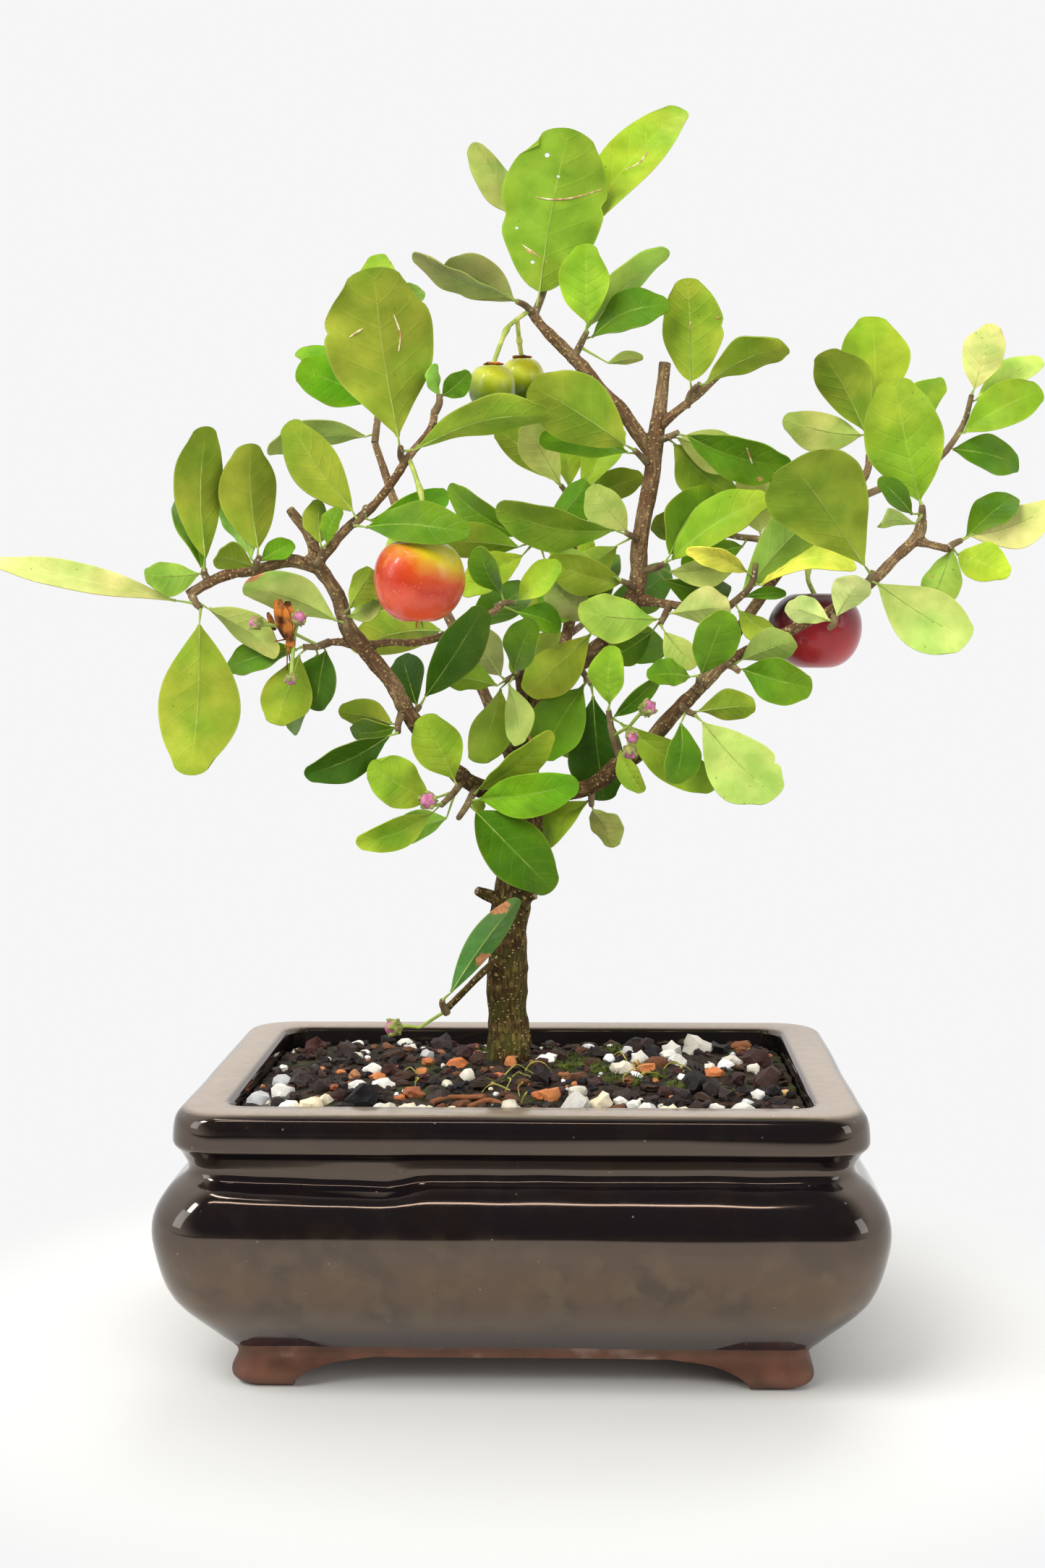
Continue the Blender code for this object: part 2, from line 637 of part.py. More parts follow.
def union(obj, pieces):
    """Joins the pieces to obj, and removes them."""
    helper = new_collection(obj.name + "_pieces")
    for piece in pieces:
        for held in list(piece.users_collection):
            held.objects.unlink(piece)
        helper.objects.link(piece)
    join = obj.modifiers.new("join", "BOOLEAN")
    join.operation = "UNION"
    join.operand_type = "COLLECTION"
    join.collection = helper
    bpy.context.view_layer.update()
    apply_modifiers(obj)
    for piece in list(helper.objects):
        bpy.data.objects.remove(piece, do_unlink=True)
    bpy.data.collections.remove(helper)
    drop_scraps(obj)


def drop_scraps(obj):
    """Keeps the largest body of the mesh, where a union leaves a loose sliver beside it."""
    bm = bmesh.new()
    bm.from_mesh(obj.data)
    left, bodies = set(bm.faces), []
    while left:
        body, border = [], [left.pop()]
        while border:
            face = border.pop()
            body.append(face)
            for edge in face.edges:
                if len(edge.link_faces) == 2:
                    near = set(edge.link_faces) & left
                    left -= near
                    border += near
        bodies.append(body)
    bodies.sort(key=len)
    for body in bodies[:-1]:
        bmesh.ops.delete(bm, geom=body, context="FACES")
    bm.to_mesh(obj.data)
    bm.free()


def tree_of(obj):
    bm = bmesh.new()
    bm.from_mesh(obj.data)
    tree = BVHTree.FromBMesh(bm)
    bm.free()
    return tree


def rounded_loop(half_x, half_y, corner):
    """Points round a rectangle with round corners, anticlockwise."""
    points = []
    for quarter in range(4):
        turn = quarter * math.pi / 2
        sx = 1 if quarter in (0, 3) else -1
        sy = 1 if quarter in (0, 1) else -1
        for step in range(CORNER_STEPS + 1):
            angle = turn + step / CORNER_STEPS * math.pi / 2
            points.append((
                sx * (half_x - corner) + corner * math.cos(angle),
                sy * (half_y - corner) + corner * math.sin(angle),
            ))
    return points


def loft(name, rings, collection, colour, cap_last):
    """A closed solid through rings of points in millimetres, capped at its first ring."""
    bm = bmesh.new()
    loops = [[bm.verts.new(Vector(p) * MM) for p in ring] for ring in rings]
    for lower, upper in zip(loops, loops[1:]):
        count = len(lower)
        for i in range(count):
            bm.faces.new((lower[i], lower[(i + 1) % count], upper[(i + 1) % count], upper[i]))
    bm.faces.new(reversed(loops[0]))
    if cap_last:
        bm.faces.new(loops[-1])
    return object_of(name, mesh_of(bm, name), collection, colour)


def pot_ring(half_x, height):
    inset = RIM_HALF[0] - half_x
    corner = max(SHARPEST_CORNER, RIM_CORNER - 0.5 * inset)
    return [(x, y, height) for x, y in rounded_loop(half_x, RIM_HALF[1] - inset, corner)]


def cut(obj, cutter, name):
    cutter.hide_render = True
    cutter.display_type = "WIRE"
    modifier = obj.modifiers.new(name, "BOOLEAN")
    modifier.operation = "DIFFERENCE"
    modifier.object = cutter


def prism(name, outline, half_length, collection):
    """The outline in X and Z, extruded both ways along Y."""
    curve = bpy.data.curves.new(name, "CURVE")
    curve.dimensions = "2D"
    curve.fill_mode = "BOTH"
    curve.extrude = half_length * MM
    spline = curve.splines.new("POLY")
    spline.points.add(len(outline) - 1)
    for point, (x, z) in zip(spline.points, outline):
        point.co = (x * MM, z * MM, 0.0, 1.0)
    spline.use_cyclic_u = True
    guide = bpy.data.objects.new(name, curve)
    collection.objects.link(guide)
    bpy.context.view_layer.update()
    bm = bmesh.new()
    bm.from_mesh(baked(guide))
    bpy.data.objects.remove(guide, do_unlink=True)
    bmesh.ops.remove_doubles(bm, verts=bm.verts, dist=SAME_POINT * MM)
    bmesh.ops.rotate(bm, verts=bm.verts, matrix=Matrix.Rotation(math.pi / 2, 3, "X"))
    return object_of(name, mesh_of(bm, name), collection, "soil")


def make_pot(parts, cutters):
    rings = [pot_ring(half, height) for half, height in POT_OUTSIDE + POT_INSIDE]
    pot = loft("pot", rings, parts, "glaze", True)
    narrowing = RIM_HALF[0] - RIM_HALF[1]
    arch = [(-x, z) for x, z in FOOT_ARCH] + [(x, z) for x, z in reversed(FOOT_ARCH)]
    side_arch = [(x + math.copysign(narrowing, -x), z) for x, z in arch]
    cut(pot, prism("arch_front", arch, RIM_HALF[1] + CUTTER_SPARE, cutters), "arch_front")
    side = prism("arch_side", side_arch, RIM_HALF[0] + CUTTER_SPARE, cutters)
    side.rotation_euler.z = math.pi / 2
    cut(pot, side, "arch_side")
    middle = UNDERSIDE - HOLLOW_HALF_HEIGHT
    bpy.ops.mesh.primitive_cube_add(size=2, location=(0, 0, middle * MM))
    hollow = bpy.context.active_object
    hollow.name = "under_hollow"
    hollow.scale = (FOOT_HALF[0] * MM, FOOT_HALF[1] * MM, HOLLOW_HALF_HEIGHT * MM)
    move_to(hollow, cutters)
    cut(pot, hollow, "under_hollow")
    for i, (x, y) in enumerate(DRAIN_HOLES):
        bpy.ops.mesh.primitive_cylinder_add(
            vertices=DRAIN_SIDES, radius=DRAIN_RADIUS * MM, depth=3 * CUTTER_SPARE * MM,
            location=(x * MM, y * MM, CUTTER_SPARE * MM),
        )
        hole = bpy.context.active_object
        hole.name = f"drain_{i + 1}"
        move_to(hole, cutters)
        cut(pot, hole, hole.name)
    apply_modifiers(pot)
    return pot


def move_to(obj, collection):
    for held in list(obj.users_collection):
        held.objects.unlink(obj)
    collection.objects.link(obj)


def soil_height(x, y):
    """The soil's top, heaped round the trunk and lower along the back."""
    across = min(1.0, max(abs(x) / SOIL_HALF[0], abs(y) / SOIL_HALF[1]))
    edge = SOIL_FRONT + (SOIL_BACK - SOIL_FRONT) * (y + SOIL_HALF[1]) / (2 * SOIL_HALF[1])
    return edge + (SOIL_CENTRE - edge) * (1 - across**2)


def stone_at(x, y, draw):
    """A rough stone bedded in the soil's top."""
    bpy.ops.mesh.primitive_ico_sphere_add(subdivisions=1, radius=1.0)
    stone = bpy.context.active_object
    size = draw.uniform(*STONE_RADIUS)
    turned = Matrix.Rotation(draw.uniform(0, math.tau), 4, "Z")
    turned = turned @ Matrix.Rotation(draw.uniform(-STONE_TILT, STONE_TILT), 4, "X")
    width, height = size * draw.uniform(*STONE_WIDTH), size * draw.uniform(*STONE_HEIGHT)
    shaped = Matrix.Diagonal((size * MM, width * MM, height * MM, 1.0))
    level = soil_height(x, y) + STONE_RISE * size
    stone.data.transform(Matrix.Translation((x * MM, y * MM, level * MM)) @ turned @ shaped)
    return stone


def make_soil(parts, cutters):
    inner = [(half - SOIL_GAP, height) for half, height in POT_INSIDE[::-1] if height < SOIL_RIM]
    rings = [pot_ring(inner[0][0], inner[0][1] + SOIL_GAP)]
    rings += [pot_ring(half, height) for half, height in inner[1:]]
    top_half = inner[-1][0]
    top_depth = top_half - RIM_HALF[0] + RIM_HALF[1]
    for share in SOIL_SHARES:
        loop = rounded_loop(top_half * share, top_depth * share, SOIL_CORNER * share)
        rings.append([(x, y, soil_height(x, y)) for x, y in loop])
    soil = loft("soil", rings, parts, "soil", True)
    draw = rule("stones")
    stones = []
    while len(stones) < STONES:
        x = draw.uniform(-STONE_FIELD[0], STONE_FIELD[0])
        y = draw.uniform(-STONE_FIELD[1], STONE_FIELD[1])
        if math.hypot(x - TRUNK.x, y - TRUNK.y) > TRUNK_HOLE + BARE_ROUND_TRUNK:
            stones.append(stone_at(x, y, draw))
    union(soil, stones)
    hole_middle = TRUNK_FOOT - TRUNK_HOLE_BELOW + TRUNK_HOLE_LENGTH / 2
    bpy.ops.mesh.primitive_cylinder_add(
        vertices=TRUNK_HOLE_SIDES, radius=TRUNK_HOLE * MM, depth=TRUNK_HOLE_LENGTH * MM,
        location=(TRUNK.x * MM, TRUNK.y * MM, hole_middle * MM),
    )
    hole = bpy.context.active_object
    hole.name = "trunk_hole"
    move_to(hole, cutters)
    cut(soil, hole, "trunk_hole")
    apply_modifiers(soil)
    return soil


def make_wood(parts):
    """The trunk and its limbs, which grew as one piece."""
    wood = tube(
        "wood", [seen(*p[:3]) for p in TRUNK_POINTS], [p[3] for p in TRUNK_POINTS], parts, "bark", 2
    )
    limbs = [
        tube(
            "limb_" + name, [seen(*p[:3]) for p in points], [p[3] for p in points], parts, "bark",
            1 if points[0][3] > THIN_LIMB else 0,
        )
        for name, points in LIMBS.items()
    ]
    union(wood, limbs)
    return wood


def from_carrier(route, radius, tree):
    """The route from where a tube of this radius stands clear of what carries it."""
    start, ahead = route[0], (route[1] - route[0]).normalized()
    for step in range(SEARCH_STEPS):
        point = start + ahead * (step * SEARCH_STEP * MM)
        spot, normal, _, distance = tree.find_nearest(point)
        slant = ahead.cross(normal).length
        clear = (GAP + SEARCH_MARGIN + radius * slant) * MM
        if (point - spot).dot(normal) > 0 and distance > clear:
            break
    reached = (point - start).dot(ahead) + ROUTE_SPACING * MM
    return [point] + [p for p in route[1:] if (p - start).dot(ahead) > reached]


def tapered(count, first, last):
    return [first + (last - first) * i / max(1, count - 1) for i in range(count)]


def stations(route):
    """Points all along the route, the station spacing apart."""
    points = []
    for a, b in zip(route, route[1:]):
        count = max(1, round((b - a).length / (STATION_SPACING * MM)))
        points += [a.lerp(b, i / count) for i in range(count)]
    return points + [route[-1]]


def free_station(route, point, taken):
    """The point of the route nearest this one that keeps clear of the stalks already there."""
    spots = sorted(stations(route), key=lambda spot: (spot - point).length)
    for spot in spots:
        if all((spot - other).length > STALK_SPACING * MM for other in taken):
            return spot
    return spots[0]


def half_width(share):
    """The leaf's outline: narrow at the stalk, widest past its middle, with a blunt tip."""
    return math.sin(math.pi * share**1.15) ** 0.65


def blade(name, root, base, tip, width, turn, tone, collection):
    """An open leaf blade with its stalk. It is arched, folded along the midrib and waved."""
    draw = rule(name)
    stalk = base - root
    if stalk.length < SHORTEST_STALK * MM or stalk.angle(tip - base) > STALK_BEND:
        base = root.lerp(tip, STALK_SHARE)
    along = tip - base
    length = along.length
    axis = along / length
    sight = (TRUNK + EYE) * MM - base
    face = (sight - axis * sight.dot(axis)).normalized()
    face = Matrix.Rotation(math.radians(turn) * (1 if draw.random() < 0.5 else -1), 3, axis) @ face
    side = axis.cross(face)
    upper = -1 if tone in ("olive", "pale", "mint") else 1
    fold = draw.uniform(*FOLD) * upper
    arch = draw.uniform(*ARCH) * length * upper
    half = min(WIDEST_SHARE * length, 0.5 * width * MM / math.cos(math.radians(turn)))
    shares = next(rows for least, rows in BLADE_ROWS if width >= least)
    bm = bmesh.new()
    ends = [place + side * PETIOLE_HALF * k * MM for place in (root, base) for k in (-1, 1)]
    stalk = [bm.verts.new(end) for end in ends]
    rows = []
    for share in shares:
        middle = base + along * share + face * arch * math.sin(math.pi * share)
        spread = half * half_width(share)
        row = []
        for k in (-1, 0, 1):
            wave = draw.uniform(*WAVE) * abs(k) * half
            lift = face * (fold * spread * abs(k) + wave)
            row.append(bm.verts.new(middle + side * spread * k + lift))
        rows.append(row)
    bm.faces.new((stalk[0], stalk[1], stalk[3]))
    bm.faces.new((stalk[0], stalk[3], stalk[2]))
    bm.faces.new((stalk[2], stalk[3], rows[0][1]))
    bm.faces.new((stalk[2], rows[0][1], rows[0][0]))
    bm.faces.new((stalk[3], rows[0][2], rows[0][1]))
    for lower, higher in zip(rows, rows[1:]):
        for k in (0, 1):
            bm.faces.new((lower[k], lower[k + 1], higher[k + 1]))
            bm.faces.new((lower[k], higher[k + 1], higher[k]))
    point = bm.verts.new(tip)
    for k in (0, 1):
        bm.faces.new((rows[-1][k], rows[-1][k + 1], point))
    mesh = bpy.data.meshes.new(name)
    bm.to_mesh(mesh)
    bm.free()
    obj = object_of(name, mesh, collection, tone)
    shell = obj.modifiers.new("shell", "SOLIDIFY")
    shell.offset = 0.0
    shell.thickness = BLADE_THICKNESS * MM
    return obj


def blade_trees(obj, root):
    """The blade as trees for overlap tests: all of it, and all but its stalk."""
    mesh = baked(obj)
    points = [vertex.co.copy() for vertex in mesh.vertices]
    faces = [tuple(face.vertices) for face in mesh.polygons]
    bpy.data.meshes.remove(mesh)
    near = {i for i, point in enumerate(points) if (point - root).length < STALK_ZONE * MM}
    outer = [face for face in faces if not near & set(face)]
    return BVHTree.FromPolygons(points, faces), BVHTree.FromPolygons(points, outer or faces)


def leaf(name, route, row, parts, obstacles, siblings, taken):
    """A leaf on its twig, swung towards or away from the eye until it clears the others."""
    right, up, tip_right, tip_up, lean, width, turn, tone = row
    depth = 0.0
    for _ in range(4):
        root = free_station(route, seen(right, up, depth), taken)
        depth = root.y / MM - TRUNK.y
    for mind_siblings in (True, False):
        for swing in SWINGS:
            base = seen(right, up, depth + BASE_SWING * swing)
            tip = seen(tip_right, tip_up, depth + lean + swing)
            made = blade(name, root, base, tip, width, turn, tone, parts)
            made.modifiers["shell"].thickness = CLEAR_THICKNESS * MM
            bpy.context.view_layer.update()
            whole, outer = blade_trees(made, root)
            touches = any(whole.overlap(tree) for tree in obstacles)
            crowds = mind_siblings and any(outer.overlap(tree) for tree in siblings)
            if not touches and not crowds:
                made.modifiers["shell"].thickness = BLADE_THICKNESS * MM
                bpy.context.view_layer.update()
                apply_modifiers(made)
                taken.append(root)
                siblings.append(outer)
                return made, whole
            bpy.data.objects.remove(made, do_unlink=True)
    print("no room for", name)
    return None, None


def back_leaves(name, route, count):
    """Leaves in pairs along a hidden twig, each pair turned a quarter from the last."""
    draw = rule(name)
    rows = []
    for i in range(count):
        share = BACK_LEAF_START + BACK_LEAF_SPAN * (i // 2) / max(1, (count - 1) // 2)
        place = share * (len(route) - 1)
        k = min(int(place), len(route) - 2)
        right, up, _ = (a + (b - a) * (place - k) for a, b in zip(route[k], route[k + 1]))
        stray = draw.uniform(-BACK_LEAF_STRAY, BACK_LEAF_STRAY)
        angle = math.radians(BACK_LEAF_TURN + 90 * (i // 2) + 180 * (i % 2) + stray)
        length = draw.uniform(*BACK_LEAF_LENGTH)
        reach_right, reach_up = math.cos(angle), BACK_LEAF_FLATTER * math.sin(angle)
        rows.append((
            right + BACK_LEAF_STALK * reach_right, up + BACK_LEAF_STALK * reach_up,
            right + length * reach_right, up + length * reach_up,
            draw.uniform(*BACK_LEAF_LEAN), BACK_LEAF_WIDTH * length, BACK_LEAF_TURN,
            BACK_LEAF_TONES[i % 3],
        ))
    return rows


def make_fruit(name, centre, across, half_height, collection, colour):
    """A round fruit, a little flattened, with three shallow lobes and a dimple at its stalk."""
    bpy.ops.mesh.primitive_uv_sphere_add(
        segments=FRUIT_SIDES, ring_count=FRUIT_RINGS, radius=1.0
    )
    fruit = bpy.context.active_object
    fruit.name = name
    for vertex in fruit.data.vertices:
        x, y, z = vertex.co
        reach = across * (1 + LOBE_DEPTH * math.cos(LOBES * math.atan2(y, x)) * (1 - z * z))
        dimple = DIMPLE_DEPTH * max(0.0, z - DIMPLE_FROM)
        vertex.co = (x * reach * MM, y * reach * MM, (z - dimple) * half_height * MM)
    fruit.data.transform(Matrix.Translation(seen(*centre)))
    fruit.data.materials.append(material(colour))
    fruit.data.shade_smooth()
    move_to(fruit, collection)
    return fruit


def calyx(name, route, collection):
    """The stalk's end, spread to five blunt sepals that lie on the fruit."""
    bpy.ops.mesh.primitive_cone_add(
        vertices=CALYX_SEPALS, radius1=CALYX_RADII[0] * MM, radius2=CALYX_RADII[1] * MM,
        depth=CALYX_HEIGHT * MM,
    )
    cap = bpy.context.active_object
    cap.name = name
    cap.data.transform(Matrix.Translation(route[-1] + Vector((0, 0, CALYX_RISE * MM))))
    cap.data.materials.append(material("green"))
    move_to(cap, collection)
    return cap


def make_stalk(name, route, carrier, parts):
    route = from_carrier([seen(*p) for p in route], STALK_RADIUS, carrier)
    stalk = tube(name, route, [STALK_RADIUS] * len(route), parts, "green")
    union(stalk, [calyx(name + "_calyx", route, parts)])
    return stalk


def seat_fruit(fruit, stalk):
    """Lowers the fruit from a raised place until its top stands the gap below the calyx."""
    calyx_tree = tree_of(stalk)
    fruit.data.transform(Matrix.Translation((0, 0, FRUIT_RAISED * MM)))
    while True:
        bm = bmesh.new()
        bm.from_mesh(fruit.data)
        own = BVHTree.FromBMesh(bm)
        gap = min(calyx_tree.find_nearest(v.co)[3] for v in bm.verts)
        bm.free()
        if not own.overlap(calyx_tree) and gap > GAP * MM:
            return
        fruit.data.transform(Matrix.Translation((0, 0, -FRUIT_STEP * MM)))


def make_pair_stalk(parts, carrier):
    stem = from_carrier([seen(*p) for p in PAIR_STALK], STALK_RADIUS, carrier)
    stalk = tube("stalk_green", stem, [STALK_RADIUS] * len(stem), parts, "green")
    pieces = []
    for i, points in enumerate(PAIR_ENDS):
        route = [stem[-1]] + [seen(*p) for p in points]
        pieces.append(tube(f"pair_{i}", route, [STALK_RADIUS] * len(route), parts, "green"))
        pieces.append(calyx(f"pair_calyx_{i}", route, parts))
    union(stalk, pieces)
    return stalk


def make_umbel(name, start, head, buds, carrier, parts):
    route = from_carrier([seen(*start), seen(*head)], PEDICEL_RADIUS, carrier)
    umbel = tube("umbel_" + name, route, [PEDICEL_RADIUS] * len(route), parts, "pink", 0)
    pieces = []
    for i, (right, up, depth, radius) in enumerate(buds):
        centre = seen(right, up, depth)
        path = [route[-1], centre]
        pieces.append(tube(f"pedicel_{i}", path, [PEDICEL_RADIUS] * 2, parts, "pink", 0))
        bpy.ops.mesh.primitive_uv_sphere_add(
            segments=BUD_SIDES, ring_count=BUD_RINGS, radius=radius * MM
        )
        bud = bpy.context.active_object
        bud.data.transform(Matrix.Translation(centre))
        pieces.append(bud)
    union(umbel, pieces)
    return umbel


def main():
    clear_scene()
    parts = new_collection("barbados_cherry_bonsai")
    cutters = new_collection("cutters")
    make_pot(parts, cutters)
    soil = make_soil(parts, cutters)
    wood = make_wood(parts)
    wood_tree = tree_of(wood)

    routes, twigs, twig_trees = {}, {}, {}
    plan = dict(SHOOTS)
    for name, (route, count) in BACK_SHOOTS.items():
        plan[name] = (route, back_leaves(name, route, count))
    for name, (points, _) in plan.items():
        route = from_carrier([seen(*p) for p in points], TWIG_RADIUS[0], wood_tree)
        routes[name] = route
        radii = tapered(len(route), *TWIG_RADIUS)
        twigs[name] = tube("leaves_" + name, route, radii, parts, "bark", 0)
        twig_trees[name] = tree_of(twigs[name])

    others = [wood_tree, tree_of(soil)]
    stalks = {"red": make_stalk("stalk_red", FRUITS["red"][3], wood_tree, parts)}
    stalks["dark"] = make_stalk("stalk_dark", FRUITS["dark"][3], wood_tree, parts)
    stalks["green_left"] = stalks["green_right"] = make_pair_stalk(parts, wood_tree)
    skins = {"red": "red", "dark": "maroon", "green_left": "green", "green_right": "green"}
    for name, (centre, across, half_height, _) in FRUITS.items():
        fruit = make_fruit("fruit_" + name, centre, across, half_height, parts, skins[name])
        seat_fruit(fruit, stalks[name])
        others += [tree_of(fruit), tree_of(stalks[name])]
    carriers = {"left": "cross_left", "right": "bud_shoot", "front": "front_lime"}
    for name, (start, head, buds) in UMBELS.items():
        carrier = twig_trees[carriers[name]] if name in carriers else wood_tree
        others.append(tree_of(make_umbel(name, start, head, buds, carrier, parts)))

    placed = []
    for name, (_, rows) in plan.items():
        foreign = [tree for other, tree in twig_trees.items() if other != name]
        foreign += [tree for other, tree in placed if other != name]
        blades, siblings, taken = [], [], []
        for i, row in enumerate(rows):
            label = f"{name}_{i + 1}"
            made, tree = leaf(label, routes[name], row, parts, others + foreign, siblings, taken)
            if made:
                blades.append(made)
                placed.append((name, tree))
        union(twigs[name], blades)
        twigs[name].data.materials.clear()
        twigs[name].data.materials.append(material(rows[0][7]))
        twigs[name].data.shade_smooth()
    stand_on_origin(parts)


def stand_on_origin(parts):
    """Carries every piece on one empty, so that the origin lies under the middle of its box."""
    bpy.context.view_layer.update()
    corners = [obj.matrix_world @ Vector(c) for obj in parts.objects for c in obj.bound_box]
    low = [min(c[i] for c in corners) for i in range(3)]
    high = [max(c[i] for c in corners) for i in range(3)]
    origin = bpy.data.objects.new("origin", None)
    origin.location = (-(low[0] + high[0]) / 2, -(low[1] + high[1]) / 2, -low[2])
    bpy.context.scene.collection.objects.link(origin)
    for obj in list(parts.objects):
        obj.parent = origin


main()
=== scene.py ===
# %% [markdown]
# # A barbados cherry grown as a bonsai
#
# The tree stands in a glazed pot on a pale studio floor. Its solids are already there, as a
# fixed frame of plain faceted pieces. This lesson dresses that frame: each piece is made
# again with a finer surface in the same place, and every surface gets a finish of its own.

# %% Load the frame and keep its size
import math
import random

import bmesh
import bpy
from mathutils import Matrix, Vector, noise
from mathutils.bvhtree import BVHTree
from mathutils.kdtree import KDTree


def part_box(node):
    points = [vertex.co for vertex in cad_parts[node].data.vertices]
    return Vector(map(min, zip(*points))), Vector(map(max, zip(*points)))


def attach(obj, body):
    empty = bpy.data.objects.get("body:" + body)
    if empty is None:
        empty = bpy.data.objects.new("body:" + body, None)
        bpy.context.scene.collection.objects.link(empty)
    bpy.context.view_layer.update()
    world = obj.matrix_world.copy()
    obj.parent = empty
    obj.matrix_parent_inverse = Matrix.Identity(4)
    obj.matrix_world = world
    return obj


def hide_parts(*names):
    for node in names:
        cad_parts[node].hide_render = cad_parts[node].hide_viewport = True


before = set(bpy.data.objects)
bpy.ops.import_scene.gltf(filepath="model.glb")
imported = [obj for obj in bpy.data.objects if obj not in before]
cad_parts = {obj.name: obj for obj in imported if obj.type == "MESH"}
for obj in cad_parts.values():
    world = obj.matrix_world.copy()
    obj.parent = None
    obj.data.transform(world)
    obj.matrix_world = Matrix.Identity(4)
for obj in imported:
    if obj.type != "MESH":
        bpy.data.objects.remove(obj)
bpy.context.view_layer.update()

MM = 0.001
pot_low, pot_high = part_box("pot")
POT = Vector(((pot_low.x + pot_high.x) / 2, (pot_low.y + pot_high.y) / 2, 0.0))
print("the frame has", len(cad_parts), "nodes, and the pot stands at", POT)

# %% [markdown]
# ## Where things are
#
# The tree was measured as it is seen from the front. A point is given as millimetres to the
# right and up on the upright plane through the trunk, and then as a depth behind that
# plane. `seen` slides the point along its line of sight to that depth, so a leaf stays
# where the eye sees it however deep in the crown it hangs. Long lists of such points are
# written as text, which `numbers` and the two tables turn into rows.

# %% Points as the eye sees them
TRUNK = Vector((-4.2, 12.0, 0.0))
EYE = Vector((20.1, -503.1, 157.3))


def seen(right, up, depth):
    """The point in metres that the eye sees there at that depth."""
    drawn = Vector((right, 0.0, up))
    reach = (depth - EYE.y) / -EYE.y
    return POT + (TRUNK + EYE + (drawn - EYE) * reach) * MM


def rule(*key):
    """A draw that depends on the names and numbers it is given, and on nothing else."""
    return random.Random("/".join(str(k) for k in key))


def numbers(text):
    """Rows that commas part, each of values that spaces part. A word stays a word."""
    return tuple(
        tuple(value if value.isalpha() else float(value) for value in row.split())
        for row in text.split(",")
    )


def entries(text):
    """The text of each name: a name starts a line, and an indented line goes on."""
    found, name = {}, ""
    for line in text.strip().splitlines():
        if not line.startswith(" "):
            name, line = line.split(":")
        found[name] = found.get(name, "") + line
    return found


def table(text):
    """The rows of each name."""
    return {name: numbers(rows) for name, rows in entries(text).items()}


def parted_table(text):
    """The rows of each name in groups that slashes part."""
    parted = {name: rows.split("/") for name, rows in entries(text).items()}
    return {name: [numbers(part) for part in parts] for name, parts in parted.items()}


print("the trunk's foot is at", seen(0, 0, 0))

# %% [markdown]
# ## The camera
#
# The camera stands half a metre in front of the pot, a little right of it and at the height
# of the lower crown. It is turned a touch to the left and looks slightly down.

# %% Camera
EYE_YAW, EYE_PITCH, EYE_ROLL = (math.radians(angle) for angle in (-1.952, -3.794, -0.158))
SENSOR_WIDTH, LENS = 36.0, 49.69
NEAREST = 10 * MM


def in_scene(name, data):
    """A new object of that name and data, linked to the scene."""
    made = bpy.data.objects.new(name, data)
    bpy.context.scene.collection.objects.link(made)
    return made


camera = in_scene("camera", bpy.data.cameras.new("camera"))
camera.location = POT + (TRUNK + EYE) * MM
turned = Matrix.Rotation(-EYE_YAW, 3, "Z") @ Matrix.Rotation(math.pi / 2 + EYE_PITCH, 3, "X")
camera.rotation_euler = (turned @ Matrix.Rotation(EYE_ROLL, 3, "Z")).to_euler()
camera.data.sensor_width = SENSOR_WIDTH
camera.data.lens = LENS
camera.data.clip_start = NEAREST
bpy.context.scene.camera = camera
print("the camera looks from", camera.location)

# %% [markdown]
# ## Small helpers for materials
#
# A material here is a tree of nodes. `add` makes one node, sets its plain values and links
# whatever comes from another node, so that each material below reads as a short recipe.
# The helpers after it each make one kind of node, and return the output that is used.

# %% Node helpers
def add(tree, kind, inputs=None, **settings):
    made = tree.nodes.new(kind)
    for key, value in settings.items():
        setattr(made, key, value)
    for key, value in (inputs or {}).items():
        if isinstance(value, bpy.types.NodeSocket):
            tree.links.new(value, made.inputs[key])
        else:
            made.inputs[key].default_value = value
    return made


def rgb(red, green, blue):
    return (red, green, blue, 1.0)


def mixed(tree, share, first, second, blend="MIX"):
    """A colour from the first to the second as share goes from 0 to 1."""
    sockets = {0: share, 6: first, 7: second}
    return add(tree, "ShaderNodeMix", sockets, data_type="RGBA", blend_type=blend).outputs[2]


def maths(tree, operation, first, second=0.0, third=0.0):
    values = {0: first, 1: second, 2: third}
    return add(tree, "ShaderNodeMath", values, operation=operation).outputs[0]


def times(tree, first, second):
    return maths(tree, "MULTIPLY", first, second)


def vector_value(tree, operation, first, second):
    """One number from two vectors, such as their distance."""
    made = add(tree, "ShaderNodeVectorMath", {0: first, 1: second}, operation=operation)
    return made.outputs["Value"]


def ranged(tree, value, low, high, to_low=0.0, to_high=1.0, **settings):
    ends = {"From Min": low, "From Max": high, "To Min": to_low, "To Max": to_high}
    return add(tree, "ShaderNodeMapRange", {"Value": value, **ends}, **settings).outputs[0]


def noisy(tree, vector, scale, detail):
    inputs = {"Vector": vector, "Scale": scale, "Detail": detail}
    return add(tree, "ShaderNodeTexNoise", inputs).outputs[0]


def stretched(tree, vector, scale):
    return add(tree, "ShaderNodeMapping", {"Vector": vector, "Scale": scale}).outputs[0]


def attribute(tree, name, output="Fac"):
    return add(tree, "ShaderNodeAttribute", attribute_name=name).outputs[output]


def part_of(tree, vector, axis):
    """One of a vector's three numbers: 0 for x, 1 for y, 2 for z."""
    return add(tree, "ShaderNodeSeparateXYZ", {0: vector}).outputs[axis]


def place_of(tree, output="Object"):
    return add(tree, "ShaderNodeTexCoord").outputs[output]


def bump(tree, height, strength, distance):
    inputs = {"Height": height, "Strength": strength, "Distance": distance}
    return add(tree, "ShaderNodeBump", inputs).outputs[0]


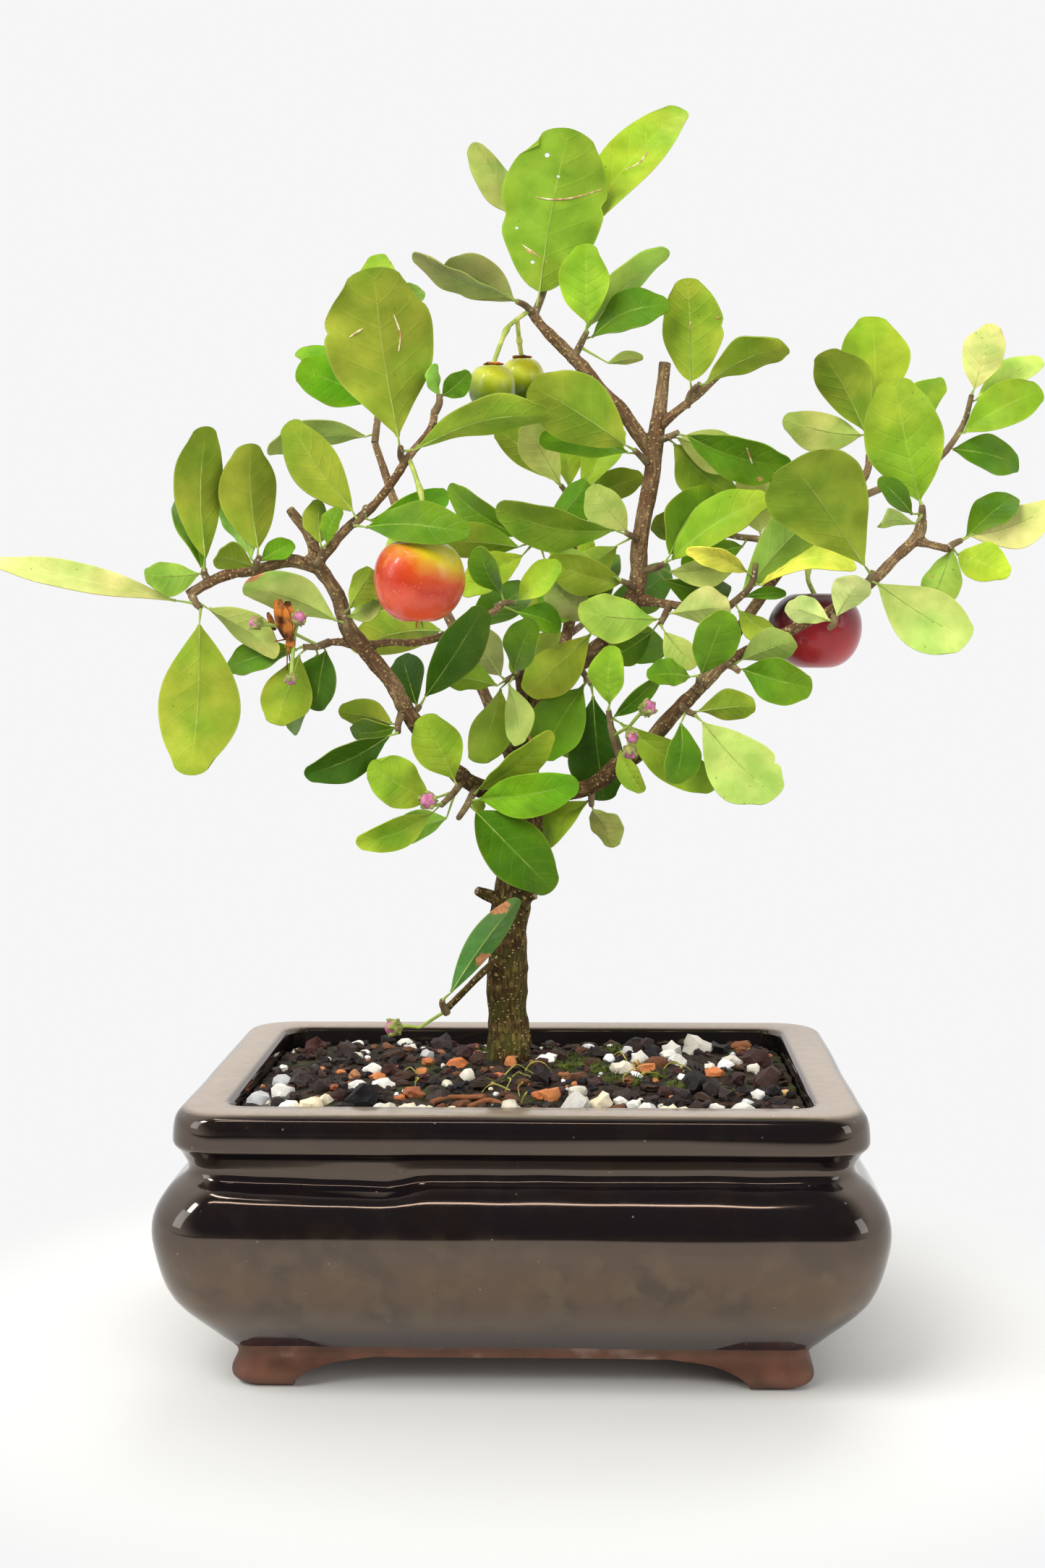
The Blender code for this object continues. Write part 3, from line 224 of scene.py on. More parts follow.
def ramp(tree, value, text):
    """A colour ramp through stops, each written as its place and its colour."""
    stops = numbers(text)
    made = add(tree, "ShaderNodeValToRGB", {"Fac": value})
    elements = made.color_ramp.elements
    for element, (place, *colour) in zip(elements, (stops[0], stops[-1])):
        element.position, element.color = place, rgb(*colour)
    for place, *colour in stops[1:-1]:
        elements.new(place).color = rgb(*colour)
    return made.outputs[0]


def new_material(name, **shader_values):
    """A material with its Principled shader's plain values set, ready for its nodes."""
    made = bpy.data.materials.new(name)
    made.use_nodes = True
    shader = made.node_tree.nodes["Principled BSDF"]
    for key, value in shader_values.items():
        shader.inputs[key.replace("_", " ")].default_value = value
    return made, made.node_tree, shader


def connect(tree, shader, **sockets):
    for key, value in sockets.items():
        tree.links.new(value, shader.inputs[key.replace("_", " ")])


print("node helpers are ready")

# %% [markdown]
# ## Effects that several materials share
#
# Glaze, clay, bark, stones, leaves and fruit all have a cloudy change of colour, so that
# effect is a node group with named inputs. Bark, fruit and leaves also carry small round
# dots, which is the second group. Each material places a group with its own values.

# %% Shared node groups
def new_group(name, **values):
    """An empty group that takes a place and these numbers, and gives a mask."""
    made = bpy.data.node_groups.new(name, "ShaderNodeTree")
    made.interface.new_socket("Vector", in_out="INPUT", socket_type="NodeSocketVector")
    for label, value in values.items():
        socket = made.interface.new_socket(label, in_out="INPUT", socket_type="NodeSocketFloat")
        socket.default_value = value
    made.interface.new_socket("Mask", in_out="OUTPUT", socket_type="NodeSocketFloat")
    given, result = made.nodes.new("NodeGroupInput"), made.nodes.new("NodeGroupOutput")
    return made, given.outputs, result.inputs["Mask"]


DOT_CORE = 0.55

clouds, given, mask = new_group("clouds", Scale=100.0, Detail=3.0, Low=0.4, High=0.6)
cloud = noisy(clouds, given["Vector"], given["Scale"], given["Detail"])
clouds.links.new(ranged(clouds, cloud, given["Low"], given["High"]), mask)

dots, given, mask = new_group("dots", Scale=400.0, Size=0.2, Share=0.5)
cell = add(dots, "ShaderNodeTexVoronoi", {key: given[key] for key in ("Vector", "Scale")})
core = times(dots, given["Size"], DOT_CORE)
soft = ranged(dots, cell.outputs["Distance"], given["Size"], core)
drawn = add(dots, "ShaderNodeSeparateColor", {0: cell.outputs["Color"]}).outputs[0]
kept = maths(dots, "LESS_THAN", drawn, given["Share"])
dots.links.new(times(dots, soft, kept), mask)


def use(tree, group, vector, **values):
    return add(
        tree, "ShaderNodeGroup", {"Vector": vector, **values}, node_tree=group
    ).outputs["Mask"]


def painted(tree, colour, mask, share, over, blend="MIX"):
    """The colour with another one laid over it where the mask is, as strong as the share."""
    return mixed(tree, times(tree, mask, share), colour, rgb(*over), blend)


def two_toned(name, roughness, cloud, first, second, relief=None):
    """A material that goes from one colour to another in clouds, with bumps if wanted."""
    made, tree, shader = new_material(name, Roughness=roughness)
    mask = use(tree, clouds, place_of(tree), **cloud)
    connect(tree, shader, Base_Color=mixed(tree, mask, rgb(*first), rgb(*second)))
    if relief:
        connect(tree, shader, Normal=bump(tree, mask, *relief))
    return made


print("node groups:", [group.name for group in bpy.data.node_groups])

# %% [markdown]
# ## Small helpers for meshes
#
# Each piece is drawn in a bmesh in metres where it belongs, so its object stays at the
# origin. `finish_piece` turns the bmesh into an object, lets it ride on the one body that
# the plant and its pot form, and hides the plain solids that it stands for.

# %% Mesh helpers
def mesh_from(bm, name):
    mesh = bpy.data.meshes.new(name)
    bm.to_mesh(mesh)
    bm.free()
    return mesh


def outward(bm):
    bmesh.ops.recalc_face_normals(bm, faces=bm.faces)


def finish_piece(bm, name, materials, replaced=(), crease=60.0):
    mesh = mesh_from(bm, name)
    mesh.shade_smooth()
    mesh.set_sharp_from_angle(angle=math.radians(crease))
    for finish in materials:
        mesh.materials.append(finish)
    piece = in_scene(name, mesh)
    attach(piece, "root")
    if replaced:
        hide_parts(*replaced)
    return piece


def apply_modifiers(piece):
    """Gives the piece the mesh that its modifiers make, and takes them off."""
    bpy.context.view_layer.update()
    graph = bpy.context.evaluated_depsgraph_get()
    mesh = bpy.data.meshes.new_from_object(piece.evaluated_get(graph), depsgraph=graph)
    piece.modifiers.clear()
    piece.data = mesh
    return mesh


def search_tree(points):
    tree = KDTree(len(points))
    for i, point in enumerate(points):
        tree.insert(point, i)
    tree.balance()
    return tree


def of_kind(geometry, kind):
    return [thing for thing in geometry if isinstance(thing, kind)]


def extend(bm, edges):
    """Extrudes an open border, and returns the new border and its points."""
    grown = bmesh.ops.extrude_edge_only(bm, edges=edges)["geom"]
    edges = [edge for edge in of_kind(grown, bmesh.types.BMEdge) if edge.is_boundary]
    return edges, {vert for edge in edges for vert in edge.verts}


def faces_round(verts):
    return {face for vert in verts for face in vert.link_faces}


def ball(bm, subdivisions, matrix=Matrix()):
    """The points of a ball of radius 1 that the matrix shapes and places."""
    return bmesh.ops.create_icosphere(
        bm, subdivisions=subdivisions, radius=1.0, matrix=matrix
    )["verts"]


def sizing(x, y, z):
    return Matrix.Diagonal((x, y, z, 1))


def curve_through(points, steps):
    """Points along a smooth curve that passes through the given ones."""
    ends = [points[0] * 2 - points[1]] + list(points) + [points[-1] * 2 - points[-2]]
    found = []
    for i in range(1, len(ends) - 2):
        before, start, end, after = ends[i - 1 : i + 3]
        for step in range(steps):
            t = step / steps
            found.append(0.5 * (
                2 * start + (end - before) * t
                + (2 * before - 5 * start + 4 * end - after) * t**2
                + (3 * start - before - 3 * end + after) * t**3
            ))
    return found + [points[-1].copy()]


def rod(bm, points, radii, sides, material_index=0):
    """A round solid along the points: a circle is extruded and turned from point to point."""
    heading = (points[1] - points[0]).normalized()
    placed = Matrix.Translation(points[0]) @ heading.to_track_quat("Z", "X").to_matrix().to_4x4()
    ring = bmesh.ops.create_circle(
        bm, cap_ends=True, radius=radii[0] * MM, segments=sides, matrix=placed
    )["verts"]
    cap = ring[0].link_faces[0]
    made = set(ring)
    for i in range(1, len(points)):
        ahead = points[min(i + 1, len(points) - 1)] - points[i - 1]
        turn = heading.rotation_difference(ahead.normalized()).to_matrix()
        heading = ahead.normalized()
        grown = bmesh.ops.extrude_face_region(bm, geom=[cap])["geom"]
        cap = of_kind(grown, bmesh.types.BMFace)[0]
        centre = points[i - 1]
        grow = radii[i] / radii[i - 1]
        for vert in cap.verts:
            vert.co = points[i] + turn @ (vert.co - centre) * grow
            made.add(vert)
    for face in faces_round(made):
        face.material_index = material_index
    return list(made)


def tapered(count, first, last):
    return [first + (last - first) * i / max(1, count - 1) for i in range(count)]


print("mesh helpers are ready")

# %% [markdown]
# ## The pot's finish
#
# The pot is dipped in a black-brown glaze that stops short of the ground, and the foot below
# that line is bare red clay. The glaze is glossy enough to mirror the floor and the studio,
# with a faint brown film, water stains, specks of dust, and pale dust that has settled on
# the rim. One material does both: the height of the glaze line, with a little noise, picks
# glaze or clay. Low on the belly the glaze is painted brown: partly its film and stains,
# partly a painted reflection of the warm floor that the lower belly mirrors.

# %% Glaze and clay
GLAZE_LINE = 9.4 * MM
GLAZE_WOBBLE = 1.2 * MM
GLAZE_EDGE = 0.15 * MM
# Below these heights the glaze is painted brown: partly its film and stains, partly a painted
# reflection of the warm floor.
PAINTED_REFLECTION_AND_STAIN_TOP, PAINTED_REFLECTION_AND_STAIN_FULL = 38 * MM, 26 * MM
COOL_BAND_TOP, COOL_BAND_FULL = 16 * MM, 13 * MM
CLAY_ROUGHNESS = 0.75

glaze, tree, shader = new_material(
    "glaze_over_clay", IOR=2.0, Specular_Tint=rgb(1.0, 0.78, 0.62)
)
place = place_of(tree)
height = part_of(tree, place, 2)
wander = noisy(tree, place, 70.0, 2.0)
line = maths(tree, "MULTIPLY_ADD", wander, GLAZE_WOBBLE, GLAZE_LINE - GLAZE_WOBBLE / 2)
bare = ranged(tree, maths(tree, "SUBTRACT", height, line), GLAZE_EDGE, -GLAZE_EDGE)
film = use(tree, clouds, place, Scale=70.0, Detail=8.0, Low=0.50, High=0.62)
stain = use(tree, clouds, place, Scale=170.0, Detail=7.0, Low=0.50, High=0.63)
dust = use(tree, dots, place, Scale=420.0, Size=0.12, Share=0.12)
lower = ranged(tree, height, PAINTED_REFLECTION_AND_STAIN_TOP, PAINTED_REFLECTION_AND_STAIN_FULL)
stain = times(tree, stain, maths(tree, "MULTIPLY_ADD", lower, 0.94, 0.06))
# The lower belly is painted brown, partly a brown film and partly a painted reflection of the warm
# floor.
coat = mixed(tree, lower, rgb(0.005, 0.004, 0.005), rgb(0.034, 0.019, 0.010))
coat = mixed(tree, film, coat, rgb(0.006, 0.004, 0.004))
coat = mixed(tree, stain, coat, rgb(0.043, 0.029, 0.015))
band = ranged(tree, height, COOL_BAND_TOP, COOL_BAND_FULL)
coat = mixed(tree, band, coat, rgb(0.012, 0.012, 0.018))
coat = painted(tree, coat, dust, 0.35, (0.25, 0.22, 0.19))
upward = part_of(tree, place_of(tree, "Normal"), 2)
mottle = use(tree, clouds, place, Scale=420.0, Detail=5.0, Low=0.30, High=0.70)
settled = maths(tree, "MULTIPLY_ADD", mottle, 0.12, 0.52)
settled = times(tree, ranged(tree, upward, 0.84, 1.0), settled)
coat = mixed(tree, settled, coat, rgb(0.43, 0.335, 0.25))
fired = use(tree, clouds, place, Scale=160.0, Detail=6.0, Low=0.3, High=0.75)
clay = mixed(tree, fired, rgb(0.045, 0.016, 0.009), rgb(0.125, 0.044, 0.024))
chalk = use(tree, clouds, place, Scale=95.0, Detail=8.0, Low=0.6, High=0.72)
clay = painted(tree, clay, chalk, 0.35, (0.36, 0.26, 0.21))
smooth = maths(tree, "MULTIPLY_ADD", stain, 0.16, 0.07)
smooth = maths(tree, "MULTIPLY_ADD", dust, 0.3, smooth)
smooth = maths(tree, "MULTIPLY_ADD", settled, 0.25, smooth)
rough = mixed(tree, bare, smooth, rgb(CLAY_ROUGHNESS, CLAY_ROUGHNESS, CLAY_ROUGHNESS))
relief = mixed(tree, bare, noisy(tree, place, 55.0, 1.0), noisy(tree, place, 900.0, 4.0))
connect(
    tree, shader, Base_Color=mixed(tree, bare, coat, clay), Roughness=rough,
    Normal=bump(tree, relief, 0.25, 0.4 * MM),
)
print("the glaze ends", GLAZE_LINE / MM, "mm above the ground")

# %% [markdown]
# ## The pot
#
# A slab-built pot is one wall with one profile that runs round a rectangle with round
# corners: foot band, full belly, waist and rolled rim, then down the inside. So a ring of
# points is extruded along a smooth curve through the profile. The arches between the feet,
# the hollow underneath and the drain holes are cut afterwards, as a potter does.

# %% Pot
RIM_HALF = (72.5, 57.0)
RIM_CORNER, SMALLEST_CORNER = 11.0, 4.0
CORNER_STEPS = 9
SIDE_STEPS = 40
POT_OUTSIDE = numbers("""
    59.5 0, 61.6 1.5, 61.9 3.6, 60.7 7.2, 64.6 11.4, 72.9 20.4, 76.4 31, 76.4 38.2, 73.4 43.6,
    69.6 47.4, 70.8 51, 72.3 52.9, 72.5 54.6, 72.2 57.6, 71.5 59.3, 70.1 60.3, 68.5 60.5
""")
POT_INSIDE = numbers("62.8 60.5, 61.7 60.1, 61.1 59.2, 61.4 50, 66 34, 58 15")
FOOT_ARCH = numbers("48.5 -1, 47 2.4, 41 5.2, 31 6.7")
FOOT_HALF = (49.0, 33.5)
UNDERSIDE = 6.7
HOLLOW_HEIGHT = 10
DRAIN_HOLES = (-28.0, 28.0)
DRAIN_RADIUS = 7.0
DRAIN_CUT, DRAIN_HEIGHT = 30, 10
HAND_WOBBLE, WOBBLE_LENGTH = 0.35, 28
WAIST_HEIGHT, WAIST_SAG, WAIST_SPREAD = 47.4, 1.5, 3.2
WAIST_END, WAIST_JUMP = 76, -26
PROFILE_STEPS = 4
CUT_MARGIN = 10
GLAZE_CREASE = 38.0


def rounded_ring(half_x, half_y, corner):
    """Points round a rectangle with round corners, the same number whatever its size."""
    points = []
    for quarter, across in enumerate(((-1, 0), (0, -1), (1, 0), (0, 1))):
        sx = 1 if quarter in (0, 3) else -1
        sy = 1 if quarter in (0, 1) else -1
        middle = Vector((sx * (half_x - corner), sy * (half_y - corner)))
        for step in range(CORNER_STEPS + 1):
            angle = (quarter + step / CORNER_STEPS) * math.pi / 2
            points.append(middle + corner * Vector((math.cos(angle), math.sin(angle))))
        length = 2 * ((half_x if across[0] else half_y) - corner)
        start = points[-1]
        for step in range(1, SIDE_STEPS):
            points.append(start + Vector(across) * (length * step / SIDE_STEPS))
    return points


def waist_mark(x, y, height):
    """How far the front of the waist sags there: it sinks to the right, then jumps back."""
    if y > 0 or abs(x) > WAIST_END:
        return 0.0
    sunk = (x + WAIST_END) / 50 if x < WAIST_JUMP else max(0.0, 1 - (x - WAIST_JUMP) / 6)
    ripple = 0.35 * noise.noise(Vector((x / 11, 0, 3)))
    off = (height - WAIST_HEIGHT) / WAIST_SPREAD
    return (-WAIST_SAG * sunk + ripple) * math.exp(-(off**2))


def pot_ring(half_x, height, wobble=0.0):
    inset = RIM_HALF[0] - half_x
    corner = max(SMALLEST_CORNER, RIM_CORNER - 0.5 * inset)
    ring = []
    for x, y in rounded_ring(half_x, RIM_HALF[1] - inset, corner):
        drift = 1 + wobble * noise.noise(Vector((x, y, height)) / WOBBLE_LENGTH) / 70
        mark = waist_mark(x, y, height) if wobble else 0.0
        ring.append(POT + Vector((x * drift, y * drift, height + mark)) * MM)
    return ring


def loft(bm, rings):
    """A closed skin through rings of points, extruded from ring to ring and capped."""
    turn = bm.verts.layers.int.new("turn")
    ring = bmesh.ops.create_circle(bm, segments=len(rings[0]), radius=1.0)["verts"]
    for i, vert in enumerate(ring):
        vert[turn] = i
        vert.co = rings[0][i]
    first = edges = [edge for edge in bm.edges if edge.verts[0] in ring]
    for points in rings[1:]:
        edges, verts = extend(bm, edges)
        for vert in verts:
            vert.co = points[vert[turn]]
    for ends in (first, edges):
        bmesh.ops.contextual_create(bm, geom=ends)
    outward(bm)


def cutter_from(bm, name):
    outward(bm)
    return in_scene(name, mesh_from(bm, name))


def arch_cutter(name, narrowing, half_length, turned):
    """The space under one pair of sides: the arch's outline, extruded through the pot."""
    bm = bmesh.new()
    arch = curve_through([Vector((x - narrowing, 0, z)) for x, z in FOOT_ARCH], 5)
    outline = [Vector((-p.x, 0, p.z)) for p in arch] + arch[::-1]
    corners = [bm.verts.new(p * MM) for p in outline]
    face = bmesh.ops.contextual_create(bm, geom=corners)["faces"][0]
    bmesh.ops.translate(bm, verts=bm.verts, vec=(0, -half_length * MM, 0))
    grown = bmesh.ops.extrude_face_region(bm, geom=[face])["geom"]
    tops = of_kind(grown, bmesh.types.BMVert)
    bmesh.ops.translate(bm, verts=tops, vec=(0, 2 * half_length * MM, 0))
    turn = Matrix.Rotation(math.pi / 2 if turned else 0.0, 4, "Z")
    bmesh.ops.transform(bm, verts=bm.verts, matrix=Matrix.Translation(POT) @ turn)
    return cutter_from(bm, name)


def pot_cutters():
    """All that is cut from the pot's skin: two arches, the hollow and the drain holes."""
    front, side = (half + CUT_MARGIN for half in (RIM_HALF[1], RIM_HALF[0]))
    cutters = [
        arch_cutter("arch_front", 0.0, front, False),
        arch_cutter("arch_side", RIM_HALF[0] - RIM_HALF[1], side, True),
    ]
    bm = bmesh.new()
    reach = sizing(2 * FOOT_HALF[0] * MM, 2 * FOOT_HALF[1] * MM, HOLLOW_HEIGHT * MM)
    middle = POT + Vector((0, 0, (UNDERSIDE - HOLLOW_HEIGHT / 2) * MM))
    bmesh.ops.create_cube(bm, size=1.0, matrix=Matrix.Translation(middle) @ reach)
    cutters.append(cutter_from(bm, "under_hollow"))
    for x in DRAIN_HOLES:
        bm = bmesh.new()
        bmesh.ops.create_cone(
            bm, cap_ends=True, segments=32, radius1=DRAIN_RADIUS * MM,
            radius2=DRAIN_RADIUS * MM, depth=DRAIN_CUT * MM,
            matrix=Matrix.Translation(POT + Vector((x, 0, DRAIN_HEIGHT)) * MM),
        )
        cutters.append(cutter_from(bm, "drain"))
    return cutters


def make_pot():
    bm = bmesh.new()
    outside = curve_through([Vector((half, z, 0)) for half, z in POT_OUTSIDE], PROFILE_STEPS)
    rings = [pot_ring(p.x, max(0.0, p.y), HAND_WOBBLE) for p in outside]
    rings += [pot_ring(half, z) for half, z in POT_INSIDE]
    loft(bm, rings)
    pot = finish_piece(bm, "glazed_pot", [glaze], ["pot"], GLAZE_CREASE)
    cutters = pot_cutters()
    for cutter in cutters:
        cut = pot.modifiers.new(cutter.name, "BOOLEAN")
        cut.operation = "DIFFERENCE"
        cut.object = cutter
    apply_modifiers(pot).set_sharp_from_angle(angle=math.radians(GLAZE_CREASE))
    for cutter in cutters:
        bpy.data.objects.remove(cutter, do_unlink=True)
    return pot


pot = make_pot()
print("the pot has", len(pot.data.polygons), "faces")

# %% [markdown]
# ## The soil's finish
#
# Bonsai soil is a mix of grains: white pumice, orange fired clay, black and red-brown lava,
# and chips of bark, over dark peat. Each grain has its own colour, kept in an attribute that
# a colour ramp reads, and each kind has its own dust and roughness, with darker patches
# painted in as the shade of its pits.

# %% Materials of the soil
peat, tree, shader = new_material("peat", Roughness=0.95)
place = place_of(tree)
crumb = use(tree, clouds, place, Scale=420.0, Detail=8.0, Low=0.35, High=0.7)
algae = use(tree, clouds, place, Scale=60.0, Detail=4.0, Low=0.52, High=0.66)
colour = mixed(tree, crumb, rgb(0.006, 0.004, 0.003), rgb(0.045, 0.028, 0.017))
colour = painted(tree, colour, algae, 0.45, (0.05, 0.07, 0.012))
grit = bump(tree, noisy(tree, place, 1400.0, 6.0), 0.9, 0.5 * MM)
connect(tree, shader, Base_Color=colour, Normal=grit)


def grain_material(name, roughness, pit_shade, speck, stops):
    """A stone coloured by its own draw, with painted shade in its pits and a dusting of specks."""
    made, tree, shader = new_material(name, Roughness=roughness)
    place = place_of(tree)
    colour = ramp(tree, attribute(tree, "draw"), stops)
    cloudy = use(tree, clouds, place, Scale=700.0, Detail=4.0, Low=0.4, High=0.75)
    # Darker patches: a painted shade of the stone's pits.
    colour = painted(tree, colour, cloudy, 0.5, pit_shade, "MULTIPLY")
    specks = use(tree, dots, place, Scale=1500.0, Size=0.3, Share=0.4)
    colour = painted(tree, colour, specks, 0.4, speck)
    rough = bump(tree, noisy(tree, place, 1300.0, 5.0), 0.8, 0.25 * MM)
    connect(tree, shader, Base_Color=colour, Normal=rough)
    return made


pumice = grain_material("pumice", 0.85, (0.72, 0.66, 0.55), (0.30, 0.27, 0.20), """
    0 0.80 0.78 0.70, 0.35 0.62 0.60 0.55, 0.6 0.72 0.62 0.42, 0.8 0.42 0.42 0.42,
    1 0.84 0.84 0.84
""")
fired_clay = grain_material("fired_clay", 0.8, (0.55, 0.45, 0.40), (0.62, 0.34, 0.17), """
    0 0.52 0.15 0.05, 0.4 0.50 0.19 0.06, 0.7 0.26 0.07 0.03, 1 0.60 0.36 0.14
""")
lava = grain_material("lava", 0.8, (0.4, 0.35, 0.35), (0.10, 0.075, 0.065), """
    0 0.010 0.009 0.010, 0.45 0.022 0.015 0.013, 0.7 0.060 0.020 0.016,
    0.85 0.046 0.030 0.026, 1 0.014 0.014 0.017
""")
bark_chip = grain_material("bark_chip", 0.8, (0.4, 0.35, 0.3), (0.10, 0.06, 0.03), """
    0 0.020 0.011 0.007, 0.6 0.055 0.026 0.014, 1 0.24 0.085 0.030
""")
moss = two_toned(
    "moss", 0.9, {"Scale": 500.0, "Detail": 5.0, "Low": 0.35, "High": 0.7},
    (0.012, 0.016, 0.003), (0.085, 0.105, 0.012), (0.8, 0.4 * MM),
)
root_skin = two_toned(
    "root_skin", 0.6, {"Scale": 300.0, "Detail": 3.0, "Low": 0.4, "High": 0.6},
    (0.20, 0.17, 0.03), (0.42, 0.40, 0.07),
)
print("the soil has", len(bpy.data.materials) - 1, "finishes")

# %% [markdown]
# ## The soil
#
# The bed of peat is a grid that follows the heap of the soil, with clods from layered noise,
# and its border is drawn down inside the pot to close it. The grains are small round stones
# of 80 faces each, pushed in and out by noise, squashed, and partly sunk in the bed. Of each
# kind, the grains that the front shows are laid where they were seen, and then more are
# strewn, each a little apart from all those before it.

# %% Soil
SOIL_HALF = (60.7, 45.2)
SOIL_CENTRE, SOIL_FRONT, SOIL_BACK = 60.2, 58.6, 56.2
HEAP_HALF = (60, 45)
BED_STEPS = (150, 110)
BED_CORNER = 0.09
# The border's way down inside the pot: each height, and how far inwards from the last.
BORDER_STEPS = ((34.0, 0.0), (20.0, 3.0))
CLOD_HEIGHT, CRUMB_HEIGHT, CLOD_SINK = 1.1, 0.35, 0.9
TRUNK_CLEAR = 5.0
STREWN_HALF, GRAIN_LIMIT = (59, 43.5), (60.2, 44.7)
GRAIN_LIFT, GRAIN_OVERLAP = 0.3, 0.82
TRIES = 30


def soil_height(x, y):
    """The soil's top in millimetres, heaped round the trunk and lower along the back."""
    across = min(1.0, max(abs(x) / HEAP_HALF[0], abs(y) / HEAP_HALF[1]))
    edge = SOIL_FRONT + (SOIL_BACK - SOIL_FRONT) * (y + HEAP_HALF[1]) / (2 * HEAP_HALF[1])
    return edge + (SOIL_CENTRE - edge) * (1 - across**2)


def clods(x, y):
    large = noise.fractal(Vector((x, y, 0)) / 9, 1.0, 2.0, 4)
    small = noise.fractal(Vector((x, y, 7)) / 2.2, 1.0, 2.0, 3)
    return CLOD_HEIGHT * large + CRUMB_HEIGHT * small - CLOD_SINK


def ground(x, y, above=0.0):
    return POT + Vector((x, y, soil_height(x, y) + clods(x, y) + above)) * MM


def make_bed():
    bm = bmesh.new()
    bmesh.ops.create_grid(bm, x_segments=BED_STEPS[0], y_segments=BED_STEPS[1], size=1.0)
    for vert in bm.verts:
        x, y = vert.co.x, vert.co.y
        over = Vector([max(0.0, abs(part) - 1 + BED_CORNER) for part in (x, y)])
        pull = max(0.0, over.length - BED_CORNER) / max(over.length, 1e-6)
        x -= math.copysign(over.x * pull, x)
        y -= math.copysign(over.y * pull, y)
        vert.co = ground(x * SOIL_HALF[0], y * SOIL_HALF[1])
    border = [edge for edge in bm.edges if edge.is_boundary]
    for level, inset in BORDER_STEPS:
        border, verts = extend(bm, border)
        for vert in verts:
            vert.co.z = level * MM
            vert.co.x -= math.copysign(inset * MM, vert.co.x - POT.x)
            vert.co.y -= math.copysign(inset * MM, vert.co.y - POT.y)
    bmesh.ops.contextual_create(bm, geom=border)
    outward(bm)
    return finish_piece(bm, "peat_bed", [peat], ["soil"], 80.0)


def stone(bm, draw, centre, size, shape, rough):
    """One grain: an icosphere, squashed to its shape, pushed by noise and turned."""
    layer = bm.verts.layers.float["draw"]
    seed = Vector([draw.uniform(0, 50) for _ in range(3)])
    tone = draw.random()
    turn = Matrix.Rotation(draw.uniform(0, math.tau), 3, "Z")
    turn = turn @ Matrix.Rotation(draw.uniform(-0.5, 0.5), 3, "X")
    for vert in ball(bm, 2):
        push = 1 + rough * noise.noise(vert.co * 1.3 + seed)
        push += rough * 0.4 * noise.noise(vert.co * 3 + seed)
        local = Vector(a * b for a, b in zip(vert.co * push, shape)) * size
        vert.co = POT + (centre + turn @ local) * MM
        vert[layer] = tone


# The larger grains as the front shows them: across, back and radius from the pot's centre.
PUMICE_SEEN = numbers("""
   -58 37 1.1, -43 36 1.5, -40 26 1.1, -41 16 1.4, -35 -2 1.9, -24 16 1.6, -29 26 1.1,
    -32 42 1.9, -54 -13 2, -53 -24 2.1, -57 -32 2.4, -52 -3 1.1, -55 -33 0.9, -52 -32 1.2,
    -49 -42 2.3, -54 -42 1.1, -44 -42 2.4, -42 -37 1.5, -31 -20 1.7, -24 -42 2, -21 -43 1.4,
    -19 -43 1.5, -30 -39 1.1, -28 -42 2, -13 -11 1.8, -17 -20 1.1, -2 -42 2.2, 4 6 1.4,
    -37 -20 1.7, -14 -43 1.2, -57 6 1, 5 6 1.7, 14 31 1.7, 16 30 0.9, 20 26 1.4, 23 22 1.5,
    26 11 1.9, 34 24 2.3, 33 17 1.5, 35 10 1.7, 40 27 2.6, 48 17 1.9, 46 7 1.7, 52 3 1.4,
    19 9 1.2, 22 -4 2.2, 12 -27 1.5, 12 -36 1.9, 12 -41 2.8, 17 -38 2.2, 21 -35 1.4, 24 -38 1.5,
    27 -40 1.7, 30 -40 1.4, 26 -42 2, 32 -42 1.9, 34 -43 1.3, 41 -42 1.8, 47 -42 2, 35 -10 1.3,
    25 -10 1.2, 48 -34 1.2, 51 -26 1.6
""")
CLAY_SEEN = numbers("""
   -39 -6 1.6, -39 -16 0.9, -33 -12 2.2, -23 6 1.5, -24 -4 1.6, -24 -28 2, -16 1 2, -42 -21 1.1,
    -46 20 0.9, -4 5 1.9, -6 -10 1.2, 1 7 0.7, 4 -29 1.9, 3 -43 1.6, -59 -12 0.7, -48 6 1,
    -43 1 1, -37 -14 1, -3 16 0.7, -8 0 0.6, 6 -30 2.6, 25 6 1.1, 27 -5 1.9, 43 -1 2.4,
    38 7 0.9, 4 -43 0.8, 11 -19 0.8, 33 -43 1.2, 58 -16 1.2, 53 -20 0.6
""")
LAVA_SEEN = numbers("""
   -44 25 2.3, -22 36 2.2, -50 -15 2.4, -31 -4 2, -53 34 2.4, -18 -32 2.3, -34 -36 3,
    -40 -30 2.1, -58 6 1.5, -45 -22 2.1, -15 12 2.1, -19 7 1.5, 54 -11 3.2, 24 27 2.3,
    54 17 3.4, 45 30 2.6, 26 34 2.4, 29 17 2.1, 51 13 1.5, 57 6 1.6, 47 -10 1.9, 55 -20 1.7,
    38 -21 2.9, 41 -24 2.9, 38 -42 2.2, 44 -28 2, 48 -21 1.7, 55 -42 2, 16 14 2.3, 6 -42 1.7
""")
CHIPS_SEEN = numbers("""
   -32 14 3.1, -27 -11 2.2, -10 -21 2.1, 22 16 1.4
""")

# Where grains lie so far: across, back and how far they reach.
taken = []


